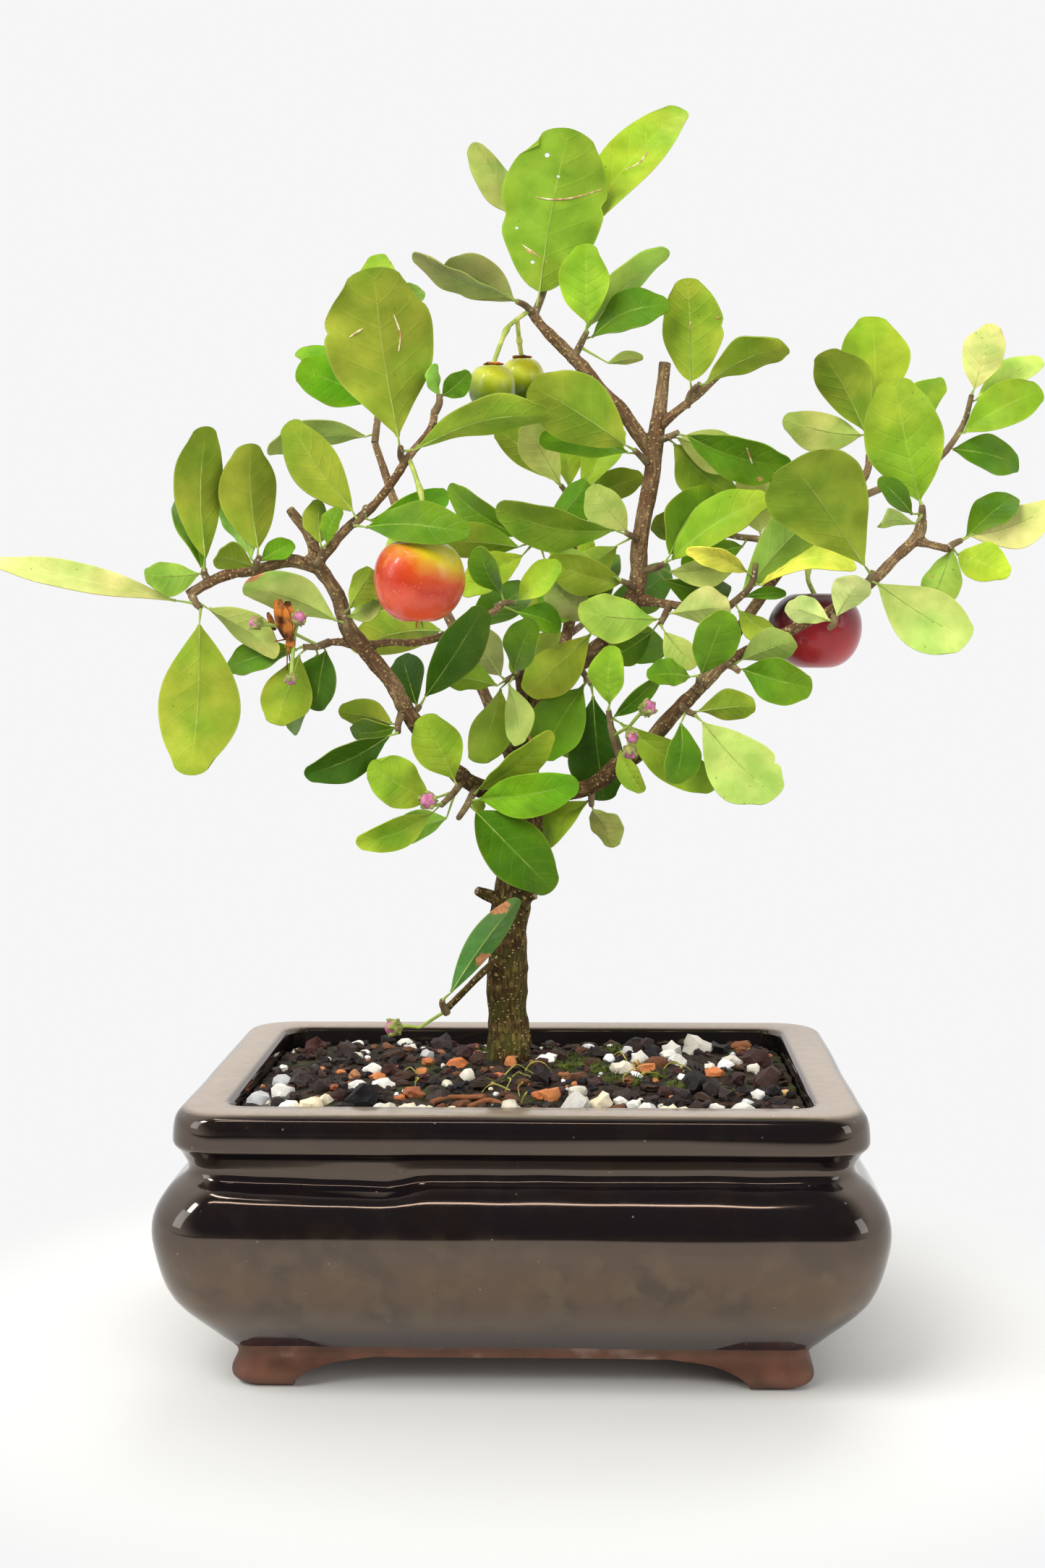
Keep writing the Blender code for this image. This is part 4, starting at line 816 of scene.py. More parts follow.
def scatter(name, finish, count, sizes, shape, rough, crease=35.0, known=(), swell=1.15):
    """The known grains of one kind, then more over the bed, each clear of those before it."""
    bm = bmesh.new()
    bm.verts.layers.float.new("draw")
    draw = rule(name)

    def place(x, y, size):
        taken.append((x, y, size * max(shape[:2])))
        centre = Vector((x, y, soil_height(x, y) + clods(x, y) + GRAIN_LIFT * size))
        stone(bm, draw, centre, size, [s * draw.uniform(0.85, 1.1) for s in shape], rough)

    for x, y, size in known:
        place(x, y, swell * size)
    placed = tries = 0
    while placed < count and tries < count * TRIES:
        tries += 1
        size = sizes[0] + (sizes[1] - sizes[0]) * draw.random() ** 2
        x, y = (draw.uniform(-half, half) for half in STREWN_HALF)
        reach = size * max(shape[:2])
        if math.hypot(x - TRUNK.x, y - TRUNK.y) < TRUNK_CLEAR + reach:
            continue
        if abs(x) + reach > GRAIN_LIMIT[0] or abs(y) + reach > GRAIN_LIMIT[1]:
            continue
        if all(math.hypot(x - a, y - b) > GRAIN_OVERLAP * (reach + c) for a, b, c in taken):
            place(x, y, size)
            placed += 1
    outward(bm)
    print(name, "grains:", placed + len(known))
    return finish_piece(bm, name, [finish], (), crease)


make_bed()
scatter(
    "pumice_grains", pumice, 4, (1.2, 1.8), (1.0, 0.85, 0.72), 0.5, 40.0, PUMICE_SEEN, 1.3
)
scatter("clay_grains", fired_clay, 3, (1.0, 1.6), (1.0, 0.7, 0.6), 0.6, known=CLAY_SEEN)
scatter("lava_grains", lava, 46, (1.3, 2.6), (1.0, 0.85, 0.8), 0.85, known=LAVA_SEEN)
scatter("bark_chips", bark_chip, 90, (1.4, 3.0), (1.0, 0.6, 0.4), 0.6, known=CHIPS_SEEN)
scatter("small_pumice", pumice, 44, (0.6, 1.0), (1.0, 0.85, 0.75), 0.4, 40.0)
scatter("small_lava", lava, 480, (0.6, 1.5), (1.0, 0.85, 0.75), 0.6)
scatter("small_clay", fired_clay, 22, (0.5, 0.9), (1.0, 0.8, 0.7), 0.5)

# %% [markdown]
# ## What grows on the soil
#
# Moss covers the wet ground right of the trunk in low tufts, each a rough mound that bristles
# with short curved shoots. Fine yellow roots lie about on the grains, with curled strips of
# bark and two seedlings, so the bed looks grown in and not just filled.

# %% Moss, roots and strips of bark
TUFTS = numbers("""
   8 3 3.2, 13 8 3.4, 17 0 3, 10 13 2.8, 5 21 2.8, 16 15 2.8, 20 -12 3.2, 24 -15 2.8, 30 -6 2.4,
    34 -19 3.6, 40 -17 3.8, 20 23 2.6, 9 -6 2.4, 44 -22 2.6, -11 22 2.2
""")
TUFT_SHOOTS = 30
TUFT_FLATNESS, TUFT_DOME = 0.42, 0.36
SHOOT_WIDTHS = (0.16, 0.13, 0.05)
# Where fine roots lie: left, right, front, back and how many.
ROOT_FIELDS = ((-7, 5, -32, -2, 7), (22, 38, -17, 6, 9), (-26, -12, -20, 4, 2))
ROOT_RISES = (0.3, 1.9, 2.2, 1.7, 0.2)
ROOT_RADIUS = 0.2
STRIPS = (((-19, -37), (-16, -32), (-12, -30), (-8, -33)), ((-11, -41), (-7, -38), (-3, -40)))
STRIP_RADIUS = 0.62
SEEDLINGS = ((1.5, -40.0, 1.0), (-6.0, -21.0, 1.4))


def make_tuft(bm, x, y, size, draw):
    for vert in ball(bm, 3):
        push = 1 + 0.35 * noise.noise(vert.co * 2.4 + Vector((x, y, 0)))
        mound = Vector((vert.co.x, vert.co.y, TUFT_FLATNESS * vert.co.z))
        vert.co = ground(x, y) + mound * push * size * MM
    for _ in range(TUFT_SHOOTS):
        turn, far = draw.uniform(0, math.tau), draw.uniform(0.1, 1.0)
        out = Vector((math.cos(turn), math.sin(turn), 0.0))
        start = ground(x, y, TUFT_DOME * size * (1 - far**2)) + out * far * size * MM
        rise = Vector((0, 0, draw.uniform(0.5, 1.3)))
        tip = start + (rise + out * draw.uniform(0.2, 1.0)) * MM
        rod(bm, [start, start.lerp(tip, 0.5) + rise * 0.15 * MM, tip], SHOOT_WIDTHS, 3)


def make_moss(draw):
    bm = bmesh.new()
    for x, y, size in TUFTS:
        make_tuft(bm, x, y, size, draw)
    for x, y, size in SEEDLINGS:
        for side in (-1, 1):
            leaf = Matrix.Translation(ground(x + side * 0.9 * size, y, 1.6))
            leaf = leaf @ Matrix.Rotation(-0.4 * side, 4, "Y")
            ball(bm, 2, leaf @ sizing(size * MM, 0.6 * size * MM, 0.16 * MM))
    finish_piece(bm, "moss_tufts", [moss])


def make_roots(draw):
    bm = bmesh.new()
    for left, right, front, back, count in ROOT_FIELDS:
        for _ in range(count):
            x, y = draw.uniform(left, right), draw.uniform(front, back)
            turn, points = draw.uniform(0, math.tau), []
            for rise in ROOT_RISES:
                points.append(ground(x, y, rise))
                turn += draw.uniform(-0.8, 0.8)
                step = draw.uniform(1.2, 2.4)
                x, y = x + step * math.cos(turn), y + step * math.sin(turn)
            path = curve_through(points, 3)
            rod(bm, path, tapered(len(path), ROOT_RADIUS, 0.5 * ROOT_RADIUS), 5)
    finish_piece(bm, "fine_roots", [root_skin])


def make_strips():
    bm = bmesh.new()
    layer = bm.verts.layers.float.new("draw")
    for spots in STRIPS:
        points = [ground(x, y, 1.0 + 0.7 * (i % 2)) for i, (x, y) in enumerate(spots)]
        path = curve_through(points, 4)
        for vert in rod(bm, path, [STRIP_RADIUS] * len(path), 8):
            vert[layer] = 1.0
    finish_piece(bm, "bark_strips", [bark_chip])


growth = rule("growth")
make_moss(growth)
make_roots(growth)
make_strips()
print("moss grows in", len(TUFTS), "tufts")

# %% [markdown]
# ## The bark's finish
#
# The bark is brown and olive, split into fine fibres that run along each limb, with rows of
# pale lenticels and green algae low on the trunk. The fibres have to follow the limb, so
# the material reads an attribute that says where each point lies round and along its limb.
# Cut ends are dry pale wood, which a second attribute marks.

# %% Bark materials
ALGAE_TOP, ALGAE_FULL = 0.115, 0.058
LIMBS_ABOVE, TRUNK_BELOW = 0.150, 0.118


def bark_colours(tree, along, place):
    """Bark: dark and olive below, brown on the limbs, with fibres and pale dots."""
    fibre = stretched(tree, along, (1.0, 1.0, 0.26))
    streak = use(tree, clouds, fibre, Scale=1500.0, Detail=6.0, Low=0.42, High=0.62)
    patch = use(tree, clouds, place, Scale=120.0, Detail=4.0, Low=0.38, High=0.66)
    height = part_of(tree, place, 2)
    ring = stretched(tree, along, (1.0, 1.0, 1.5))
    pale = use(tree, dots, ring, Scale=900.0, Size=0.31, Share=0.6)
    large = use(tree, dots, ring, Scale=620.0, Size=0.31, Share=0.8)
    large = times(tree, large, ranged(tree, height, TRUNK_BELOW, LIMBS_ABOVE))
    pale = maths(tree, "MAXIMUM", pale, large)
    colour = mixed(tree, patch, rgb(0.20, 0.108, 0.052), rgb(0.35, 0.235, 0.120))
    colour = mixed(tree, streak, mixed(tree, 0.6, colour, rgb(0.055, 0.029, 0.015)), colour)
    trunk = mixed(tree, patch, rgb(0.046, 0.028, 0.005), rgb(0.165, 0.120, 0.022))
    trunk = mixed(tree, streak, rgb(0.012, 0.007, 0.002), trunk)
    on_trunk = ranged(tree, height, LIMBS_ABOVE, TRUNK_BELOW, 0.0, 0.78)
    colour = mixed(tree, on_trunk, colour, trunk)
    green = use(tree, clouds, place, Scale=210.0, Detail=5.0, Low=0.42, High=0.64)
    green = times(tree, ranged(tree, height, ALGAE_TOP, ALGAE_FULL), green)
    colour = painted(tree, colour, green, 0.55, (0.070, 0.085, 0.014))
    colour = painted(tree, colour, pale, 0.8, (0.52, 0.40, 0.17))
    return colour, streak, pale


bark, tree, shader = new_material("bark", Roughness=0.8, Specular_IOR_Level=0.1)
place = place_of(tree)
colour, streak, pale = bark_colours(tree, attribute(tree, "along", "Vector"), place)
dry = use(tree, clouds, place, Scale=900.0, Detail=4.0, Low=0.3, High=0.7)
dry = mixed(tree, dry, rgb(0.24, 0.16, 0.10), rgb(0.45, 0.36, 0.27))
colour = mixed(tree, attribute(tree, "cut"), colour, dry)
relief = maths(tree, "MULTIPLY_ADD", pale, 0.7, streak)
connect(tree, shader, Base_Color=colour, Normal=bump(tree, relief, 0.9, 0.4 * MM))

twig_bark, tree, shader = new_material("twig_bark", Roughness=0.75, Specular_IOR_Level=0.25)
place = place_of(tree)
fleck = use(tree, dots, place, Scale=850.0, Size=0.34, Share=0.5)
tint = use(tree, clouds, place, Scale=260.0, Detail=4.0, Low=0.36, High=0.66)
colour = mixed(tree, tint, rgb(0.10, 0.062, 0.030), rgb(0.21, 0.155, 0.075))
colour = painted(tree, colour, fleck, 0.7, (0.50, 0.42, 0.28))
connect(tree, shader, Base_Color=colour, Normal=bump(tree, fleck, 0.6, 0.2 * MM))
print("bark is ready")

# %% [markdown]
# ## The trunk and its limbs
#
# They grew as one piece. Each limb is a rod along a smooth curve, as thick as the tree shows
# there. A voxel remesh joins the rods with soft forks, and then every point is moved in or
# out by noise that is stretched along its limb, which makes the fissures of the bark.

# %% Wood
# Each point is seen across, up and in depth, with the limb's radius there.
LIMBS = table("""
trunk: -0.7 42 0 5.2, -0.7 58 0 5.2, -0.4 64 0 5, -0.8 72 0 4.7, -0.8 78 0 4.9, -0.6 84 0 4.5,
    -0.4 91 0 4.6, 1 100 0 4.5, 3 113 0 4.5, 3 126 1 3.9
left_limb: 2 119 0 2.6, -7 123 -5 2.1, -13 127 -9 2, -19 134 -13 1.9, -24 141 -16 1.9,
    -27 147 -18 1.8, -31 152 -20 1.8, -35 157 -22 1.8, -38 161 -23 1.8, -40 168 -25 1.7,
    -44 174 -26 1.7, -47 177 -26 1.9
left_branch: -44 174 -26 1.6, -51 176 -27 1.4, -58 174 -28 1.3, -65 173 -29 1.2,
    -70 171 -30 1.2, -75 168 -31 1.2
left_stub: -45 175 -26 1.5, -46 181 -25 1.3, -51 188 -24 1.1
cherry_branch: -45 175 -26 1.4, -38 183 -27 1.15, -32 188 -28 1.05, -27 194 -29 1,
    -23 200 -30 0.95, -18 206 -30 0.85, -17 211 -30 0.8
cross_twig: -34 156 -21 1.2, -28 157 -19 0.95, -21 157 -16 0.95, -11 160 -11 0.9, -2 165 -6 0.8
cross_stub: -34 156 -21 1.2, -39 157 -22 0.95, -42 157 -23 0.9
leader: 3 125 0 2.4, 2 131 0 1.6, 2 138 1 1.4, 3 145 2 1.35, 2 151 2 1.4
main_limb: 3 124 1 3.4, 4 136 4 2.9, 5 141 5 2.7, 7 147 6 2.6, 13 151 6 2.5, 19 154 6 2.5,
    24 158 6 2.5, 28 165 6 2.3, 30 172 5 2.1, 30 178 5 2, 31 185 5 2, 33 195 5 1.95,
    34 205 4 1.9, 35 212 4 1.6, 36 221 4 1.4
top_side_branch: 34 206 4 1.6, 39 210 2 1, 44 214 0 1, 49 219 -2 1, 54 225 -4 1
top_leader: 33 200 5 1.8, 26 210 6 1.7, 21 215 6 1.6, 17 220 6 1.6, 14 223 6 1.5, 8 229 5 1.25,
    5 233 5 1.1
pink_branch: 29 167 6 1.9, 34 166 3 1.1, 40 165 0 1.05, 47 163 -2 1.05, 53 159 -4 1
right_limb: 3 123 0 2.6, 8 122 -4 2.2, 18 123 -9 2.1, 25 128 -12 2, 31 132 -14 1.9,
    38 140 -16 1.7, 44 146 -17 1.6, 50 152 -18 1.4, 58 156 -19 1.3, 66 160 -20 1.2,
    74 164 -20 1.2, 82 169 -20 1.2, 89 176 -20 1.2, 94 181 -20 1.3, 95 185 -20 1.3
right_side_stub: 93 180 -20 1.2, 97 179 -20 0.9, 101 178 -20 0.85
back_right_branch: 44 146 -17 1.5, 48 152 -10 1.4, 52 158 -5 1.4, 56 164 -1 1.3, 64 175 5 1.1,
    69 180 10 1, 76 188 18 1, 82 195 26 1, 83 201 30 0.9
back_left_branch: 3 122 2 2, -2 136 12 1.5, -10 154 22 1.3, -19 173 31 1.2, -26 188 36 1.1,
    -29 197 38 1, -31 203 39 0.9
back_branch: 3 121 2 2.4, 7 136 16 1.9, 11 150 30 1.7, 14 162 41 1.4, 15 175 48 1.2, 14 187 52 1
low_twig: -1 83 0 1.6, -5 81 -5 0.95, -11 75 -9 0.85, -16 70 -11 0.8
trunk_stub_left: -3 97 -2 1.6, -8 99 -5 1.1
trunk_stub_right: 2 97 0 1.6, 6 98 -2 1.2
""")
CUT_ENDS = (
    "left_stub", "main_limb", "top_side_branch", "left_branch", "cross_stub", "pink_branch",
    "trunk_stub_left", "trunk_stub_right", "right_side_stub", "leader", "back_left_branch",
)
WOOD_VOXEL = 0.40
CURVE_STEPS = 4
LIMB_SIDES = 14
KNOTS_THIN, KNOTS_THICK, THIN_LIMB = 0.10, 0.04, 2.7
LEVEL_LIMB, CUT_FACING = 0.4, 0.7
# What parts one limb's pattern from the next: along the limb in metres, and in the noise.
PATTERN_STEP, RELIEF_STEP = 0.37, 40


def limb_curves():
    """Every limb as (name, smooth points in metres, radii in millimetres)."""
    found = []
    for name, rows in LIMBS.items():
        points = curve_through([seen(*row[:3]) for row in rows], CURVE_STEPS)
        widths = curve_through([Vector((row[3], 0, 0)) for row in rows], CURVE_STEPS)
        draw = rule("limb", name)
        knots = KNOTS_THIN if rows[0][3] < THIN_LIMB else KNOTS_THICK
        radii = [w.x * (1 + draw.uniform(-knots, knots)) for w in widths]
        found.append((name, points, radii))
    return found


def bark_relief(around, along, radius):
    """How far the bark stands out there, in millimetres: ridges and slow swellings."""
    turn = Vector((math.cos(around), math.sin(around), 0))
    ridges = noise.fractal(turn * 2.6 + Vector((0, 0, along * 0.11)), 0.9, 2.0, 4)
    swell = noise.noise(turn * 0.9 + Vector((3, 5, along * 0.07)))
    return radius * (0.075 * ridges + 0.07 * swell)


def limb_stations(curves):
    """Each curve point with its heading, radius, way walked, limb and whether it ends it."""
    found = []
    for number, (name, points, radii) in enumerate(curves):
        walked = 0.0
        for i, point in enumerate(points):
            ahead = (points[min(i + 1, len(points) - 1)] - points[max(i - 1, 0)]).normalized()
            walked += (point - points[i - 1]).length if i else 0.0
            ends = i == len(points) - 1 and name in CUT_ENDS
            found.append((point, ahead, radii[i], walked, number, ends))
    return found


def make_wood():
    curves = limb_curves()
    bm = bmesh.new()
    for _, points, radii in curves:
        rod(bm, points, radii, LIMB_SIDES)
    outward(bm)
    wood = finish_piece(bm, "trunk_and_limbs", [bark], ["wood"])
    join = wood.modifiers.new("join", "REMESH")
    join.mode = "VOXEL"
    join.voxel_size = WOOD_VOXEL * MM
    joined = apply_modifiers(wood)
    places = limb_stations(curves)
    tree = search_tree([place[0] for place in places])

    bm = bmesh.new()
    bm.from_mesh(joined)
    bmesh.ops.smooth_vert(
        bm, verts=bm.verts, factor=0.5, use_axis_x=True, use_axis_y=True, use_axis_z=True
    )
    bm.normal_update()
    along_layer = bm.verts.layers.float_vector.new("along")
    cut_layer = bm.verts.layers.float.new("cut")
    moves = []
    for vert in bm.verts:
        near = min(tree.find_n(vert.co, 5), key=lambda hit: hit[2] - places[hit[1]][2] * MM)
        point, ahead, radius, walked, number, ends = places[near[1]]
        out = vert.co - point
        level = out.dot(ahead)
        out -= ahead * level
        lies = abs(ahead.z) < LEVEL_LIMB
        first = ahead.orthogonal().normalized() if lies else Vector((1, 0, 0))
        first = (first - ahead * first.dot(ahead)).normalized()
        around = math.atan2(out.dot(ahead.cross(first)), out.dot(first))
        turn = Vector((math.cos(around), math.sin(around), 0)) * radius * MM
        vert[along_layer] = (turn.x, turn.y, walked + level + number * PATTERN_STEP)
        cut = ends and vert.normal.dot(ahead) > CUT_FACING
        vert[cut_layer] = float(cut)
        where = (walked + level) / MM + number * RELIEF_STEP
        moves.append(0.0 if cut else bark_relief(around, where, radius))
    for vert, move in zip(bm.verts, moves):
        vert.co += vert.normal * move * MM
    bm.to_mesh(joined)
    bm.free()
    joined.shade_smooth()
    joined.materials.clear()
    joined.materials.append(bark)
    return wood


wood = make_wood()
print("the wood has", len(wood.data.polygons), "faces")

# %% [markdown]
# ## The leaves' finish
#
# A leaf's top has a soft gloss and a deep green, and its underside is matt, paler and more
# olive, with a pale raised midrib. Every point of a blade carries where it lies on its leaf:
# how far across, how far along, and its real distances. The material draws the midrib, seven
# pairs of side veins, the fine net and a lighter margin from them, whatever the leaf's shape.
# Where a leaf is hurt, a ragged brown patch lies over it.

# %% Leaf materials
VEIN_PAIRS = 7.0
VEIN_SWEEP, VEIN_CURVE = 0.17, 0.05

leaf_green, tree, shader = new_material("leaf", Specular_IOR_Level=0.15)
real = attribute(tree, "leaf_mm", "Vector")
tone = attribute(tree, "tone", "Color")
split = add(tree, "ShaderNodeSeparateXYZ", {0: attribute(tree, "on_leaf", "Vector")}).outputs
across = maths(tree, "ABSOLUTE", split[0])
share, top_side = split[1], split[2]
midrib = ranged(tree, maths(tree, "ABSOLUTE", part_of(tree, real, 0)), 0.26, 0.10)
midrib = times(tree, midrib, ranged(tree, share, 0.98, 0.6))
swept = maths(tree, "MULTIPLY_ADD", across, -VEIN_SWEEP, share)
swept = maths(tree, "MULTIPLY_ADD", maths(tree, "POWER", across, 2.0), -VEIN_CURVE, swept)
steps = maths(tree, "FRACT", times(tree, swept, VEIN_PAIRS))
side_vein = maths(tree, "ABSOLUTE", maths(tree, "SUBTRACT", steps, 0.5))
side_vein = ranged(tree, side_vein, 0.09, 0.02)
side_vein = times(tree, side_vein, ranged(tree, across, 0.95, 0.6))
flat = {"Vector": stretched(tree, real, (1.0, 1.0, 0.0)), "Scale": 1.1}
net = add(tree, "ShaderNodeTexVoronoi", flat, feature="DISTANCE_TO_EDGE").outputs["Distance"]
net = ranged(tree, net, 0.10, 0.02)
cloudy = use(tree, clouds, real, Scale=0.16, Detail=4.0, Low=0.35, High=0.7)
speck = use(tree, dots, real, Scale=0.55, Size=0.16, Share=0.10)
broad = use(tree, clouds, real, Scale=0.06, Detail=2.0, Low=0.42, High=0.60)
greener = mixed(tree, 1.0, tone, rgb(0.74, 0.97, 0.76), "MULTIPLY")
body = mixed(tree, times(tree, broad, 0.85), tone, greener)
light = mixed(tree, 1.0, body, rgb(1.38, 1.24, 1.5), "MULTIPLY")
dark = mixed(tree, 1.0, body, rgb(0.74, 0.80, 0.7), "MULTIPLY")
colour = mixed(tree, cloudy, dark, mixed(tree, 0.45, body, light))
vein_light = mixed(tree, 0.4, light, rgb(0.42, 0.50, 0.10))
rib_share = maths(tree, "MULTIPLY_ADD", top_side, -0.3, 0.65)
margin = ranged(tree, across, 0.94, 1.0)
for line, strength in ((net, 0.05), (side_vein, 0.08), (midrib, rib_share), (margin, 0.35)):
    colour = mixed(tree, times(tree, line, strength), colour, vein_light)
colour = painted(tree, colour, speck, 0.5, (0.10, 0.07, 0.02))
ragged = noisy(tree, real, 0.9, 4.0)
dead = maths(tree, "MULTIPLY_ADD", ragged, 0.7, attribute(tree, "harm"))
scorched = mixed(tree, ragged, rgb(0.22, 0.07, 0.015), rgb(0.72, 0.36, 0.17))
colour = mixed(tree, ranged(tree, dead, 0.80, 0.92), colour, scorched)
gloss = mixed(tree, top_side, rgb(0.62, 0.62, 0.62), rgb(0.36, 0.36, 0.36))
veins = maths(tree, "MULTIPLY_ADD", side_vein, 0.5, times(tree, net, 0.18))
relief = times(tree, veins, maths(tree, "MULTIPLY_ADD", top_side, -2.0, 1.0))
relief = bump(tree, relief, 0.5, 0.25 * MM)
connect(tree, shader, Base_Color=colour, Roughness=gloss, Normal=relief)

stalk_green = two_toned(
    "leaf_stalk", 0.5, {"Scale": 200.0, "Detail": 3.0, "Low": 0.35, "High": 0.7},
    (0.17, 0.25, 0.03), (0.36, 0.45, 0.10),
)
scar_cork = two_toned(
    "scar_cork", 0.8, {"Scale": 600.0, "Detail": 4.0, "Low": 0.4, "High": 0.6},
    (0.42, 0.22, 0.09), (0.80, 0.68, 0.46),
)
print("leaf materials are ready")

# %% [markdown]
# ## The leafy shoots
#
# A shoot is a short twig with its leaves. The table gives each twig's route and, after a
# slash, for every leaf its base and tip as seen, its lean away, its width as seen, its turn
# about the midrib and its tone. The frame's leaves were swung until they cleared each other,
# so a leaf here tries the same swings and takes the one whose tip lies on the frame's own
# leaf.

